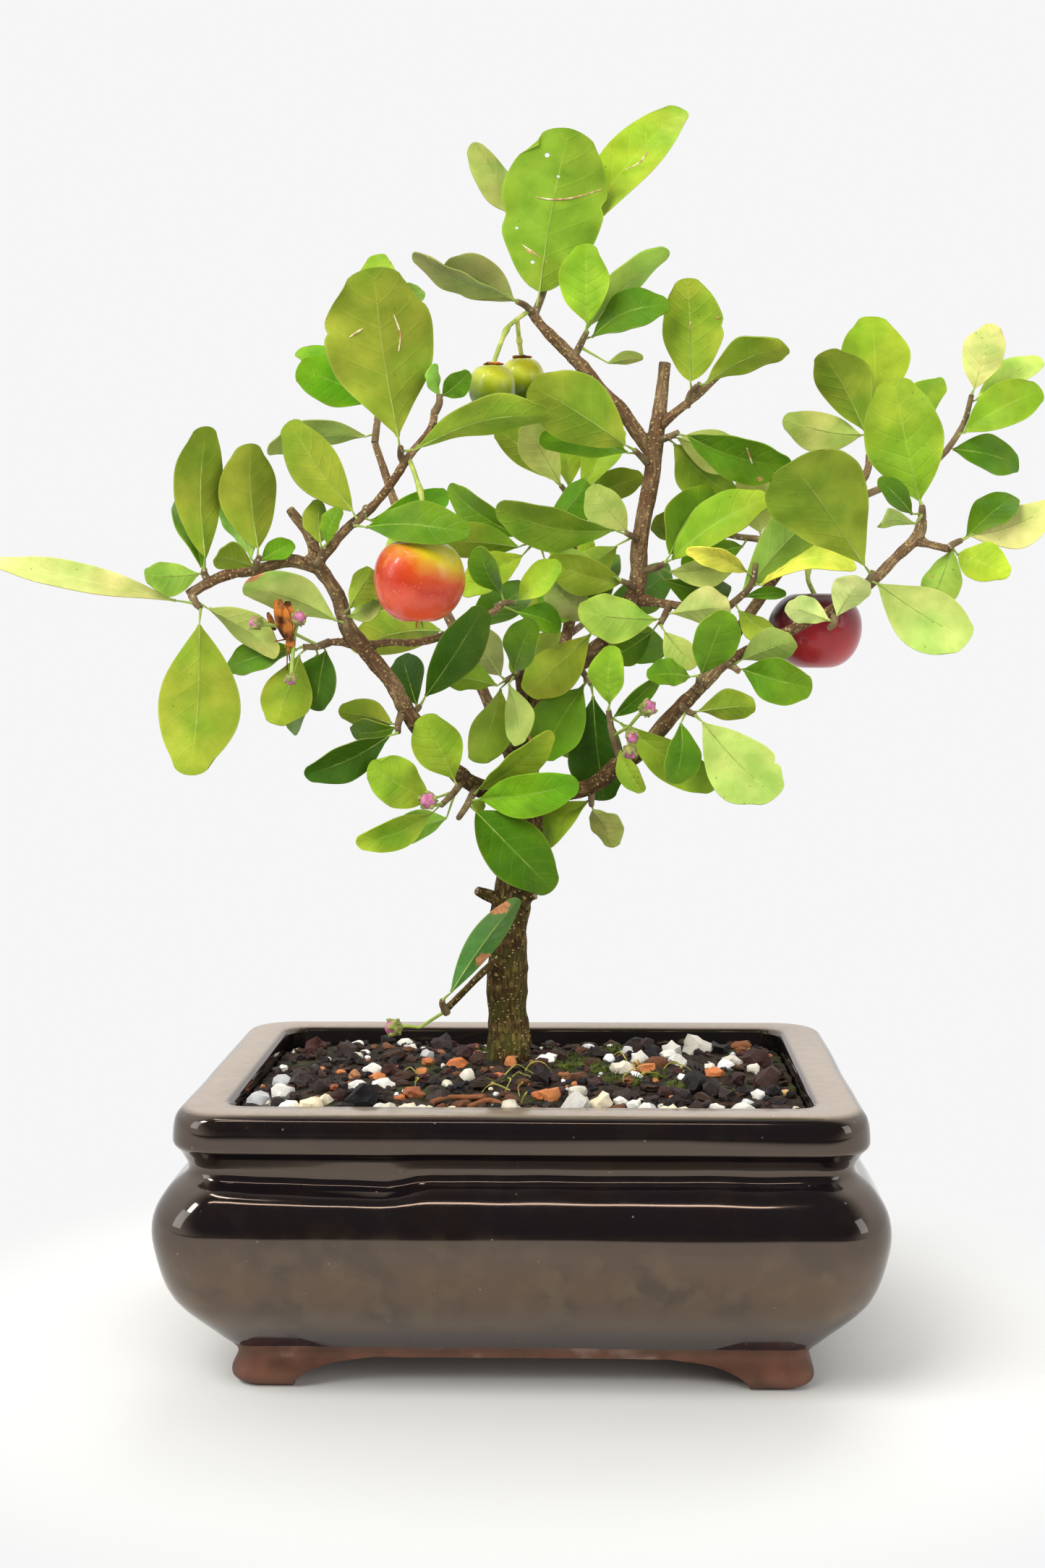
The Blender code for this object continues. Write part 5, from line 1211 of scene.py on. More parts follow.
# %% The plan of the shoots
SHOOTS = parted_table("""
top: 6 232 5, 8 237 11, 10 244 15, 11 251 17 / 8 229 14 274 -10 25 0 olive,
    15 242 40 278 6 12 25 lime, 8 252 -8 271 5 8 40 pale
top_left: 6 232 5, 4 234 3, 2 235 1 / 3 234 -15 243 -4 10 30 olive, 2 234 -22 246 8 5 50 dark
top_right: 15 222 6, 17 226 4, 18 228 2 / 16 229 18 248 -6 13 20 dark,
    18 229 37 246 4 7 50 mint, 18 227 37 234 -8 9 30 dark, 23 221 31 222 0 3 30 pale
upper_right: 41 211 2, 42 214 -1, 44 216 -3 / 41 212 41 240 -4 14 20 olive,
    45 214 64 224 14 8 40 olive
cherry_big: -24 198 -29, -25 200 -31, -25 202 -33 / -25 200 -31 243 -6 24 10 olive,
    -21 197 10 209 6 8 40 olive
cherry_end: -17 210 -30, -16 212 -31, -16 214 -31 / -16 213 -17 221 4 4 50 mint,
    -16 213 -9 219 -3 7 10 dark
cherry_mid: -33 188 -28, -34 186 -31, -36 184 -33 / -35 185 -51 208 -3 13 25 olive,
    -37 182 -9 182 -8 9 25 dark, -32 185 -14 191 4 7 20 lime
back_left: -31 203 39, -30 212 42, -30 222 44, -29 228 45 / -30 229 -30 246 3 10 20 lime,
    -27 233 -20 238 6 6 20 lime, -31 212 -49 220 -6 13 20 dark, -32 215 -49 224 6 7 30 lime,
    -31 205 -56 201 -8 7 40 pale
fork_left: 32 198 5, 31 199 1, 29 201 -2 / 30 202 5 216 -6 16 15 olive,
    29 203 7 203 12 9 30 pale
fork_right: 34 203 4, 37 204 0, 39 205 -2 / 38 206 65 197 -8 10 35 dark,
    38 202 55 199 6 10 20 pale, 41 204 52 190 8 11 20 olive
stem_left: 30 180 5, 29 181 2, 27 182 -1 / 27 181 -3 188 -6 10 35 lime,
    28 183 19 193 5 9 20 pale, 25 179 12 171 6 9 30 olive
stem_low_left: 29 169 6, 28 170 2, 26 171 -1 / 28 169 9 176 -5 9 25 lime,
    26 173 11 179 6 5 30 mint
stem_low_right: 30 173 5, 34 174 1, 36 175 -2 / 34 177 60 190 -8 10 30 dark,
    37 177 47 192 6 10 30 olive, 37 173 52 175 -3 7 30 pale, 36 171 51 168 2 8 30 dark
pink_left: 37 165 1, 36 163 -4, 35 161 -6 / 34 162 16 164 -8 11 20 mint,
    38 161 51 165 -6 9 20 pale, 36 159 43 151 -3 8 20 pale, 33 159 23 153 2 8 20 dark
young: 48 163 -2, 52 166 -5, 56 170 -8, 57 175 -9 / 50 167 80 195 -24 12 15 mint,
    57 172 41 178 -6 4 30 yellow, 58 170 80 174 -8 4 30 yellow, 55 166 64 168 2 3 30 dark,
    53 164 61 158 -4 6 30 olive
mid_back_high: 14 186 52, 14 190 50, 12 193 48 / 2 188 -3 206 4 9 20 olive,
    9 190 4 207 -4 10 10 pale, 14 193 11 207 6 9 20 lime, 17 192 26 206 2 9 25 lime,
    17 189 31 195 -4 8 20 olive
mid_back_low: 15 177 49, 10 179 42, 4 180 36 / 4 183 -14 193 6 8 30 dark,
    9 183 18 194 -4 9 30 pale, 2 179 -16 180 -8 9 20 olive, 3 177 -11 168 -4 9 20 lime,
    8 176 14 162 -8 9 30 dark
cross_end: -3 165 -6, -1 166 -5, 1 166 -4 / 2 167 12 175 -6 7 30 lime,
    -2 168 -7 179 -5 7 40 dark, 2 164 12 160 3 8 30 dark
left_upper: -39 165 -24, -38 162 -28, -38 160 -31 / -39 160 -62 170 -5 9 30 pale,
    -37 165 -32 174 5 9 20 olive, -37 163 -30 166 -4 5 30 pale
left_elbow: -24 140 -16, -22 141 -13, -21 142 -11 / -20 142 -6 165 -6 10 20 dark,
    -22 142 -25 154 8 10 20 dark
left_fork: -45 175 -26, -44 176 -31, -43 179 -33 / -43 180 -39 188 -4 4 45 dark,
    -44 180 -44 190 6 6 30 olive
left_end_up: -70 171 -30, -71 173 -31, -71 174 -32 / -71 174 -70 207 -6 12 20 olive,
    -72 172 -85 173 -6 9 25 mint, -70 173 -76 190 10 8 30 dark
left_end_down: -74 168 -31, -73 166 -33, -72 165 -34 / -74 165 -121 176 4 10 30 lime,
    -71 164 -75 126 -6 19 10 olive, -70 165 -54 154 -4 7 30 pale
left_mid: -59 174 -28, -59 175 -30, -58 177 -31 / -58 176 -60 203 -4 14 20 olive,
    -60 176 -68 189 6 6 50 mint, -60 174 -68 177 -6 7 25 olive, -57 175 -50 180 4 6 30 dark
cross_left: -42 157 -23, -45 156 -26, -48 156 -28 / -49 156 -66 151 4 7 30 dark,
    -49 154 -55 138 -6 14 10 pale, -43 155 -45 141 -3 13 25 dark, -45 154 -51 136 10 7 40 dark
left_low: -25 141 -16, -26 138 -19, -26 136 -21 / -26 135 -48 126 -8 8 30 dark,
    -26 133 -37 136 6 7 30 dark, -27 137 -40 141 8 7 20 olive
front_lime: -11 125 -7, -13 122 -16, -16 119 -25 / -15 122 -20 140 -5 13 10 lime,
    -19 120 -33 128 -4 11 15 lime, -18 117 -36 110 -8 7 30 lime, -15 116 -27 111 -3 7 30 mint
front_low: -8 123 -6, -10 119 -16, -12 116 -23 / -10 119 10 136 -4 7 40 lime,
    -11 115 16 124 -9 10 20 lime, -12 114 10 99 -6 14 15 dark, -11 116 -6 118 4 4 20 lime
trunk_low: -15 70 -11, -16 72 -13, -16 73 -14 / -14 75 2 97 -4 9 20 mint
hanging: 19 123 -10, 19 121 -7, 19 119 -4 / 18 120 5 109 6 8 30 lime, 20 119 24 109 8 7 30 pale
leader: 2 150 2, 1 149 -1, -1 148 -3 / -2 149 -11 160 4 9 25 olive,
    -3 147 -16 149 -5 7 30 olive, -2 146 -8 129 -4 10 30 olive, 0 147 2 133 6 7 30 pale,
    1 150 6 162 5 8 30 dark
main_left: 23 157 6, 21 159 1, 20 161 -2 / 20 160 4 145 -8 11 20 olive,
    19 162 9 171 4 8 30 olive, 21 163 24 177 4 8 30 dark
main_low: 15 152 6, 17 150 1, 19 147 -3 / 18 148 7 130 -5 15 10 dark,
    19 146 22 120 -8 13 15 dark, 16 148 14 130 8 7 40 pale
bud_shoot: 26 129 -12, 24 135 -15, 23 141 -17 / 25 140 48 123 -8 9 15 lime,
    23 142 24 156 -4 8 20 lime, 25 133 31 122 6 5 30 yellow, 24 142 35 149 -6 4 30 dark
right_inner: 40 142 -17, 41 141 -20, 43 140 -22 / 43 139 62 121 -8 15 15 pale,
    44 141 57 142 -3 7 30 olive, 40 138 38 124 3 8 30 dark
right_fold: 44 146 -17, 44 148 -20, 44 149 -21 / 44 148 50 164 -6 13 20 dark,
    42 149 32 149 -6 6 30 dark
right_elbow: 50 152 -18, 52 151 -21, 53 150 -23 / 53 151 70 146 -8 10 20 dark,
    54 153 66 157 -6 8 30 pale
right_big: 82 170 -20, 83 171 -22, 84 173 -23 / 84 172 65 198 6 22 10 olive,
    85 170 106 157 -5 14 15 pale
right_twist: 75 163 -20, 75 161 -23, 74 160 -25 / 75 161 64 165 -4 5 20 pale,
    75 162 82 171 -5 6 30 mint
right_end: 95 185 -20, 95 187 -21, 95 188 -21 / 96 186 88 217 -5 17 10 lime,
    93 188 84 212 8 9 40 mint, 93 186 85 194 -6 5 30 dark, 93 184 86 184 -3 4 30 pale
right_side: 101 178 -20, 102 179 -19, 104 180 -18 / 104 180 126 189 6 9 30 pale,
    103 177 115 172 -8 10 20 lime, 100 176 97 165 -8 12 20 mint, 105 182 116 190 12 8 30 dark
back_right: 83 201 30, 83 204 31, 84 208 31 / 81 203 72 223 -5 13 20 olive,
    81 204 63 208 6 10 20 pale, 84 207 83 231 -4 19 10 lime, 85 206 100 216 5 9 30 lime
far_right: 76 188 18, 88 193 26, 98 198 30, 104 206 33,
    106 213 34 / 103 203 122 214 -4 11 20 lime, 106 211 122 221 4 7 30 yellow,
    106 214 111 229 -4 11 20 yellow, 101 201 117 197 8 9 30 dark
fill_right: 64 176 4, 59 180 12, 53 181 16, 48 182 18 / 58 182 54 196 5 10 20 pale,
    54 179 40 174 -5 8 20 dark, 48 183 45 194 4 8 20 yellow, 46 181 33 184 -4 8 20 olive,
    61 182 70 193 5 9 20 yellow
""")
BACK_SHOOTS = {
    "rear_left": (((-10, 154, 22), (-13, 160, 36), (-16, 168, 48), (-18, 176, 58)), 5),
    "rear_middle": (((13, 158, 38), (18, 162, 50), (22, 168, 60), (24, 176, 68)), 5),
}
BACK_LEAF_LENGTH = (21, 27)
BACK_LEAF_TONES = ("dark", "olive", "lime")
SWINGS = (0, -3, 3, -6, 6, -9, 9, -12, 12, -16, 16, -20, 20, -25, 25)
TWIG_RADIUS = (0.95, 0.65)
STALK_SPACING = 1.2
SHORTEST_STALK = 1.6
STALK_BEND = math.radians(50)
SHELL_GAP = 0.3
print("leaves as planned:", sum(len(rows) for _, rows in SHOOTS.values()))

# %% [markdown]
# ## Where each leaf springs from
#
# A leaf's stalk starts on its twig at the nearest free place, a little apart from the stalks
# before it. The twig itself is followed from where it leaves the wood.

# %% Finding a leaf's root and swing
ROUTE_STEP, STATION_STEP, LONGEST_WALK = 0.05, 0.1, 400
BACK_LEAF_START, BACK_LEAF_SLIMNESS, BACK_LEAF_TURN = 0.35, 0.46, 25
BASE_SWING = 0.35


def surface_of(node):
    bm = bmesh.new()
    bm.from_mesh(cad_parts[node].data)
    bmesh.ops.remove_doubles(bm, verts=bm.verts, dist=0.002 * MM)
    tree = BVHTree.FromBMesh(bm)
    bm.free()
    return tree


def from_carrier(route, radius, tree):
    """The route from where a rod of this radius stands clear of what carries it."""
    start, ahead = route[0], (route[1] - route[0]).normalized()
    for step in range(LONGEST_WALK):
        point = start + ahead * (step * ROUTE_STEP * MM)
        spot, normal, _, distance = tree.find_nearest(point)
        slant = ahead.cross(normal).length
        if (point - spot).dot(normal) > 0 and distance > (SHELL_GAP + 0.02 + radius * slant) * MM:
            break
    level = (point - start).dot(ahead) + 0.3 * MM
    return [point] + [p for p in route[1:] if (p - start).dot(ahead) > level]


def stations(route):
    """Points all along the route, a tenth of a millimetre apart."""
    points = []
    for a, b in zip(route, route[1:]):
        count = max(1, round((b - a).length / (STATION_STEP * MM)))
        points += [a.lerp(b, i / count) for i in range(count)]
    return points + [route[-1]]


def free_station(route, point, taken):
    spots = sorted(stations(route), key=lambda spot: (spot - point).length)
    for spot in spots:
        if all((spot - other).length > STALK_SPACING * MM for other in taken):
            return spot
    return spots[0]


def back_leaves(name, route, count):
    """Leaves in pairs along a hidden twig, each pair turned a quarter from the last."""
    draw = rule(name)
    rows = []
    for i in range(count):
        pair, left = divmod(i, 2)
        share = BACK_LEAF_START + (1 - BACK_LEAF_START) * pair / max(1, (count - 1) // 2)
        place = share * (len(route) - 1)
        k = min(int(place), len(route) - 2)
        right, up, _ = (a + (b - a) * (place - k) for a, b in zip(route[k], route[k + 1]))
        angle = math.radians(25 + 90 * pair + 180 * left + draw.uniform(-15, 15))
        length = draw.uniform(*BACK_LEAF_LENGTH)
        reach_right, reach_up = math.cos(angle), 0.8 * math.sin(angle)
        rows.append((
            right + 3 * reach_right, up + 3 * reach_up,
            right + length * reach_right, up + length * reach_up,
            draw.uniform(8, 20), BACK_LEAF_SLIMNESS * length, BACK_LEAF_TURN,
            BACK_LEAF_TONES[i % 3],
        ))
    return rows


def placed_leaf(row, route, taken, corners):
    """(root, base, tip) of a leaf, with the swing that the frame's leaf has, and its miss."""
    right, up, tip_right, tip_up, lean = row[:5]
    depth = 0.0
    for _ in range(4):
        root = free_station(route, seen(right, up, depth), taken)
        depth = (root.y - POT.y) / MM - TRUNK.y
    taken.append(root)

    def miss(swing):
        return corners.find(seen(tip_right, tip_up, depth + lean + swing))[2]

    swing = min(SWINGS, key=miss)
    base = seen(right, up, depth + BASE_SWING * swing)
    return root, base, seen(tip_right, tip_up, depth + lean + swing), miss(swing)


wood_surface = surface_of("wood")
print("the frame's wood is ready to grow shoots on")

# %% [markdown]
# ## One leaf blade
#
# A blade starts as a flat grid. Its rows are narrowed to the leaf's outline, a wedge at the
# stalk and a blunt round tip, then the middle is arched, the halves are folded up along the
# midrib, the margin is waved and the side veins are pressed in. Some leaves have bites in
# the margin, holes, corky scars or dead patches, which the tables place. At last the sheet
# gets its thickness, and a thin rod along the underside makes the midrib and the stalk.

# %% Leaf blade
ACROSS, ALONG = 12, 28
BLADE_THICKNESS = 0.32
UNDERSIDE_TONES = ("olive", "pale", "mint")
# What the eye sees, and the leaf's other side. What the eye sees is painted as lit: a leaf with
# light behind it gets a lighter tone, a painted glow.
TONES = table("""
olive: 0.215 0.300 0.024, 0.050 0.150 0.008
dark: 0.088 0.205 0.007, 0.170 0.260 0.018
pale: 0.370 0.450 0.110, 0.110 0.230 0.012
lime: 0.255 0.400 0.024, 0.270 0.380 0.030
mint: 0.245 0.420 0.060, 0.090 0.220 0.015
yellow: 0.620 0.670 0.090, 0.560 0.660 0.070
fresh: 0.120 0.320 0.008, 0.200 0.330 0.020
deep: 0.035 0.105 0.005, 0.150 0.230 0.020
sea: 0.105 0.235 0.065, 0.100 0.200 0.020
straw: 0.560 0.600 0.200, 0.400 0.460 0.120
sage: 0.240 0.285 0.085, 0.090 0.170 0.030
cream: 0.560 0.630 0.230, 0.200 0.330 0.050
rich: 0.044 0.130 0.003, 0.150 0.250 0.015
light: 0.460 0.640 0.120, 0.400 0.560 0.080
leafy: 0.165 0.265 0.020, 0.110 0.210 0.015
gold: 0.720 0.690 0.090, 0.560 0.600 0.070
""")
# Leaves whose colour is not the one that their side and shape would give.
RETONED = {leaf: tone for tone, leaves in entries("""
straw: left_end_down_1 right_side_1 pink_left_2 far_right_3
fresh: back_left_3 right_end_2 fork_left_2 front_low_2 back_left_4 cherry_mid_3
lime: top_right_1 stem_low_right_1
sea: trunk_low_1
sage: top_left_1 top_left_2 main_left_2 leader_1
deep: cross_left_3 left_elbow_1 left_elbow_2 main_low_2 left_low_1
leafy: stem_left_1 top_1
dark: mid_back_low_2 stem_low_right_2
olive: cross_left_2 stem_low_left_1 bud_shoot_3
rich: front_low_3
light: far_right_2
cream: right_twist_1 right_twist_2
gold: young_3 young_2
""").items() for leaf in leaves.split()}
# How wide a leaf is against its plan, and how round its foot is: less is rounder.
WIDENED = {
    "left_end_down_1": 0.62, "left_end_up_1": 0.88, "left_mid_1": 0.90, "trunk_low_1": 0.74,
    "left_end_down_2": 0.93, "cherry_mid_1": 0.82, "top_right_2": 0.9, "young_3": 1.5,
    "young_2": 1.2, "right_twist_1": 1.25, "right_twist_2": 1.3,
}
ROUND_FOOT = {
    "top_1": 0.62, "left_end_up_1": 0.68, "left_mid_1": 0.72, "upper_right_1": 0.62,
    "front_low_3": 0.72, "fork_left_1": 0.75, "trunk_low_1": 0.85, "cherry_mid_1": 0.8,
}
# How far a blade bows to its right, as a share of its length.
BOWED = {"young_3": -0.17, "young_2": 0.10, "left_end_down_1": -0.04, "top_right_3": -0.06}
# Holes through a blade: how far across, how far along, and the radius in mm.
HOLES = table("top_1: -0.36 0.82 0.62, -0.02 0.71 0.42, -0.62 0.38 0.42, -0.33 0.17 0.5")
# Bites in the margin: the side, the share of the length, the depth and how far it spreads.
BITES = table("""
top_1: -1 0.87 0.30 0.035, -1 0.46 0.12 0.06, 1 0.60 0.10 0.04, 1 0.95 0.16 0.02
upper_right_1: 1 0.90 0.34 0.03, 1 0.52 0.10 0.05
cross_left_2: -1 0.93 0.25 0.03
cherry_big_1: 1 0.80 0.10 0.03, -1 0.66 0.08 0.03
right_inner_1: -1 0.72 0.16 0.03
front_lime_2: 1 0.90 0.30 0.04
""")
# Dead patches: how far across, how far along, and their size as a share of the length.
HARM = table("""
trunk_low_1: -1 0.84 0.085, 0.9 0.37 0.075
top_1: -0.42 0.25 0.022
right_side_3: 0.5 0.5 0.03
main_low_1: 1 0.9 0.08
stem_low_right_2: 1 0.6 0.10
fork_right_1: 0.7 0.75 0.025
left_upper_1: 1 0.95 0.10
""")
# Corky scars as points on the blade, how far across and along, with a slash between scars.
SCARS = parted_table("""
top_1: -0.34 0.575, 0 0.575, 0.40 0.62, 0.88 0.71 / -0.60 0.28, -0.30 0.235, 0.1 0.19
cherry_big_1: 0.30 0.72, 0.36 0.60, 0.30 0.50 / -0.55 0.62, -0.30 0.66
upper_right_1: -0.05 0.50, 0.02 0.58 / 0.80 0.60, 0.92 0.60
top_2: 0.1 0.46, 0.35 0.52, 0.3 0.60
fork_right_1: -0.6 0.60, 0.1 0.66
""")
STALK_RADIUS, THINNEST_STALK = 0.42, 0.07
WIDEST_BLADE = 0.34
NARROWEST_SPREAD = 0.3
FULL_PART = 0.90
VEIN_DEPTH, GROOVE_DEPTH, GROOVE_WIDTH = 0.08, 0.35, 0.9
RIB_END, RIB_DEPTH = 0.8, 0.06
SCAR_LIFT = 0.05
# The places of the finishes on a shoot.
STALK_FINISH, TWIG_FINISH, SCAR_FINISH = 1, 2, 3


def outline(share, widest, base_power, tip_power):
    """The half width at a share of the length, as a share of the widest half width."""
    if share < widest:
        return math.sin(math.pi / 2 * max(0.0, share) / widest) ** base_power
    return math.cos(math.pi / 2 * (share - widest) / (1 - widest)) ** tip_power


def thickened(bm, sheet, offset):
    """Gives a sheet its thickness: its far side is extruded by the offset and returned."""
    grown = bmesh.ops.extrude_face_region(bm, geom=list(faces_round(sheet)))["geom"]
    behind = of_kind(grown, bmesh.types.BMVert)
    bmesh.ops.translate(bm, verts=behind, vec=offset)
    return behind


def pierce(bm, sheet, spot, radius, layers):
    """A round hole in a sheet: the points round the spot move in or out, and it goes."""
    for vert in {vert for face in spot.link_faces for vert in face.verts} - {spot}:
        off = vert.co - spot.co
        keep = radius * MM / off.length
        vert.co = spot.co + off * keep
        for layer in layers:
            vert[layer] = spot[layer] + (vert[layer] - spot[layer]) * keep
    sheet.remove(spot)
    bm.verts.remove(spot)


def blade(bm, label, root, base, tip, width, turn, tone):
    draw = rule(label)
    stalk = base - root
    if stalk.length < SHORTEST_STALK * MM or stalk.angle(tip - base) > STALK_BEND:
        base = root.lerp(tip, 0.1)
    along = tip - base
    length = along.length
    axis = along / length
    sight = camera.location - base
    face = (sight - axis * sight.dot(axis)).normalized()
    face = Matrix.Rotation(math.radians(turn) * (1 if draw.random() < 0.5 else -1), 3, axis) @ face
    side = axis.cross(face)
    upper = -1 if tone in UNDERSIDE_TONES else 1
    fold = draw.uniform(0.12, 0.3) * upper
    arch = draw.uniform(0.05, 0.12) * length * upper
    half = min(WIDEST_BLADE * length, 0.5 * width * MM / math.cos(math.radians(turn)))
    half *= WIDENED.get(label, 1.0)

    fine = rule(label, "fine")
    widest = fine.uniform(0.52, 0.62)
    base_power = ROUND_FOOT.get(label, fine.uniform(0.82, 1.12))
    tip_power = fine.uniform(0.52, 0.68)
    wave_count = fine.uniform(1.5, 3.2)
    wave_size = fine.uniform(0.03, 0.10) * half
    wave_start = (fine.uniform(0, math.tau), fine.uniform(0, math.tau))
    sway = BOWED.get(label, fine.uniform(-0.02, 0.02)) * length
    seed = fine.uniform(0, 900)

    def spread_at(k, share):
        spread = half * outline(min(share, FULL_PART), widest, base_power, tip_power)
        spread = max(NARROWEST_SPREAD * MM, spread)
        for bitten, where, depth, reach in BITES.get(label, ()):
            if bitten * k > 0:
                spread *= 1 - depth * abs(k) ** 3 * math.exp(-(((share - where) / reach) ** 2))
        return spread

    def surface(k, share, spread):
        """The sheet's place k of the way across and a share of the way along."""
        wave = math.tau * wave_count * share + wave_start[0 if k < 0 else 1]
        ruffle = wave_size * abs(k) ** 2.2 * math.sin(wave) * min(1.0, 5 * share)
        swept = (share - VEIN_SWEEP * abs(k) - VEIN_CURVE * k * k) * VEIN_PAIRS
        within = math.sin(math.pi * min(1, share))
        quilt = VEIN_DEPTH * MM * math.cos(math.tau * (swept - 0.5)) * upper * within
        quilt *= 1 - abs(k) ** 3
        groove = GROOVE_DEPTH * MM * upper * math.exp(-((k * spread / (GROOVE_WIDTH * MM)) ** 2))
        groove *= 1 - share
        lift = arch * within + fold * spread * abs(k) ** 1.25 + ruffle - groove - quilt
        return base + along * share + side * (spread * k + sway * within) + face * lift

    on_leaf, leaf_mm = (bm.verts.layers.float_vector[key] for key in ("on_leaf", "leaf_mm"))
    tone_layer, harm_layer = bm.verts.layers.float_color["tone"], bm.verts.layers.float["harm"]
    sheet = bmesh.ops.create_grid(bm, x_segments=ACROSS, y_segments=ALONG, size=0.5)["verts"]
    centre_line = []
    for vert in sheet:
        k, t = 2 * vert.co.x, vert.co.y + 0.5
        t = t + 0.10 * math.sin(math.tau * (t - 0.5)) / math.tau
        share = FULL_PART * t + (1 - FULL_PART) * t**5 * math.sqrt(max(0.0, 1 - k * k))
        spread = spread_at(k, FULL_PART * t)
        vert.co = surface(k, share, spread)
        vert[on_leaf] = (k, share, 0.0)
        vert[leaf_mm] = (spread * k / MM, share * length / MM, seed)
        for at_k, at_share, size in HARM.get(label, ()):
            off = math.hypot((k - at_k) * spread / length, share - at_share)
            vert[harm_layer] = max(vert[harm_layer], 1 - 0.5 * off / size)
        if abs(k) < 1e-4:
            centre_line.append((share, vert.co.copy()))
    for at_k, at_share, radius in HOLES.get(label, ()):
        spot = min(sheet, key=lambda vert: math.hypot(
            (vert[on_leaf].x - at_k) * half, (vert[on_leaf].y - at_share) * length
        ))
        pierce(bm, sheet, spot, radius, (on_leaf, leaf_mm))
    behind = thickened(bm, sheet, face * -BLADE_THICKNESS * MM)
    # The tone that the eye sees carries painted light: leaves with light behind them are painted
    # lighter, a painted glow.
    shown, hidden = TONES[RETONED.get(label, tone)]
    bright, warm = fine.uniform(0.84, 1.16), fine.uniform(1.03, 1.20)
    # One half of the blade is painted lighter and the other darker: a painted shade of the folded
    # halves.
    drift, half_shade = fine.uniform(-0.30, 0.30), fine.uniform(-0.12, 0.12)
    ripe = fine.uniform(0.0, 0.10) * shown[1]
    for verts, is_near in ((sheet, True), (behind, False)):
        red, green, blue = shown if is_near else hidden
        is_top = (upper > 0) == is_near
        for vert in verts:
            k, share, _ = vert[on_leaf]
            glow = bright * (1 + drift * (share - 0.5) + half_shade * k)
            edge = ripe * (abs(k) ** 4 + share**6)
            vert[tone_layer] = (
                red * glow * warm + 1.6 * edge, green * glow + edge, blue * glow, 1.0
            )
            vert[on_leaf].z = 1.0 if is_top else 0.0
    for scar in SCARS.get(label, ()):
        path = curve_through([
            surface(k, share, spread_at(k, share)) + face * SCAR_LIFT * MM for k, share in scar
        ], 5)
        swell = [math.sin(math.pi * (i + 0.5) / len(path)) for i in range(len(path))]
        rod(bm, path, [0.08 + 0.14 * part for part in swell], 5, SCAR_FINISH)
    centre_line.sort(key=lambda item: item[0])
    under = face * upper * RIB_DEPTH * MM
    rib = [place - under for share, place in centre_line if share < RIB_END]
    neck = [root, root.lerp(base, 0.5) - face * upper * 0.03 * stalk.length]
    path = curve_through(neck + [rib[0]], 3)[:-1] + rib[::3]
    thinning = [(1 - i / len(path)) ** 1.5 for i in range(len(path))]
    radii = [max(THINNEST_STALK, STALK_RADIUS * part) for part in thinning]
    rod(bm, path, radii, 6, STALK_FINISH)


def make_shoot(name, points, rows):
    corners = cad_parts["leaves_" + name].data.vertices
    tips = search_tree([corner.co for corner in corners])
    route = [seen(*p) for p in points]
    clear = from_carrier(route, TWIG_RADIUS[0], wood_surface)
    bm = bmesh.new()
    bm.verts.layers.float_vector.new("on_leaf")
    bm.verts.layers.float_vector.new("leaf_mm")
    bm.verts.layers.float_color.new("tone")
    bm.verts.layers.float.new("harm")
    twig = curve_through(route, 3)
    rod(bm, twig, tapered(len(twig), *TWIG_RADIUS), 10, TWIG_FINISH)
    taken, worst = [], 0.0
    for i, row in enumerate(rows):
        root, base, tip, miss = placed_leaf(row, clear, taken, tips)
        blade(bm, f"{name}_{i + 1}", root, base, tip, row[5], row[6], row[7])
        worst = max(worst, miss)
    outward(bm)
    finishes = [leaf_green, stalk_green, twig_bark, scar_cork]
    finish_piece(bm, "shoot_" + name, finishes, ["leaves_" + name], 55.0)
    return worst


plan = dict(SHOOTS)
for name, (route, count) in BACK_SHOOTS.items():
    plan[name] = (route, back_leaves(name, route, count))
off = {name: make_shoot(name, *shoot) for name, shoot in plan.items()}
print("largest distance from a tip to its frame leaf, mm:", round(max(off.values()) / MM, 2))

# %% [markdown]
# ## The fruit's finish
#
# A cherry's colour changes with height and is clouded by a little noise, and its thin shiny
# skin is freckled with pale dots. On the red one the change is its ripening from the lower
# end. The dark one turns lighter red towards its lower right, partly its skin and partly a
# painted highlight; the green ones are darker olive below and light near the top, partly
# their skin and partly painted shade below and a painted highlight above. The wall of the
# fruit is moist flesh, so some light goes in and comes out again, which the subsurface value
# gives. The pattern is centred on each fruit with a Mapping node.

# %% Fruit skins
RED_STOPS = """
    0 0.80 0.085 0.030, 0.24 0.58 0.080 0.036, 0.42 0.40 0.028 0.007, 0.62 0.46 0.055 0.009,
    0.78 0.50 0.20 0.015, 0.90 0.52 0.40 0.014, 1 0.36 0.34 0.015
"""
# The dark skin turns lighter red towards the lower right: partly its own colour, partly a painted
# highlight.
MAROON_STOPS = """
    0 0.42 0.036 0.040, 0.35 0.26 0.013 0.017, 0.7 0.085 0.005 0.010, 1 0.035 0.003 0.009
"""
# The green skins: darker olive below and light near the top, partly their own colour, partly
# painted shade below and a painted highlight above.
GREEN_STOPS = """
    0 0.035 0.080 0.001, 0.36 0.085 0.135 0.002, 0.58 0.20 0.25 0.006,
    0.80 0.44 0.46 0.030, 0.95 0.30 0.30 0.012
"""


def fruit_middle(node):
    low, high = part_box(node)
    return Vector(((low.x + high.x) / 2, (low.y + high.y) / 2, (low.z + high.z) / 2))


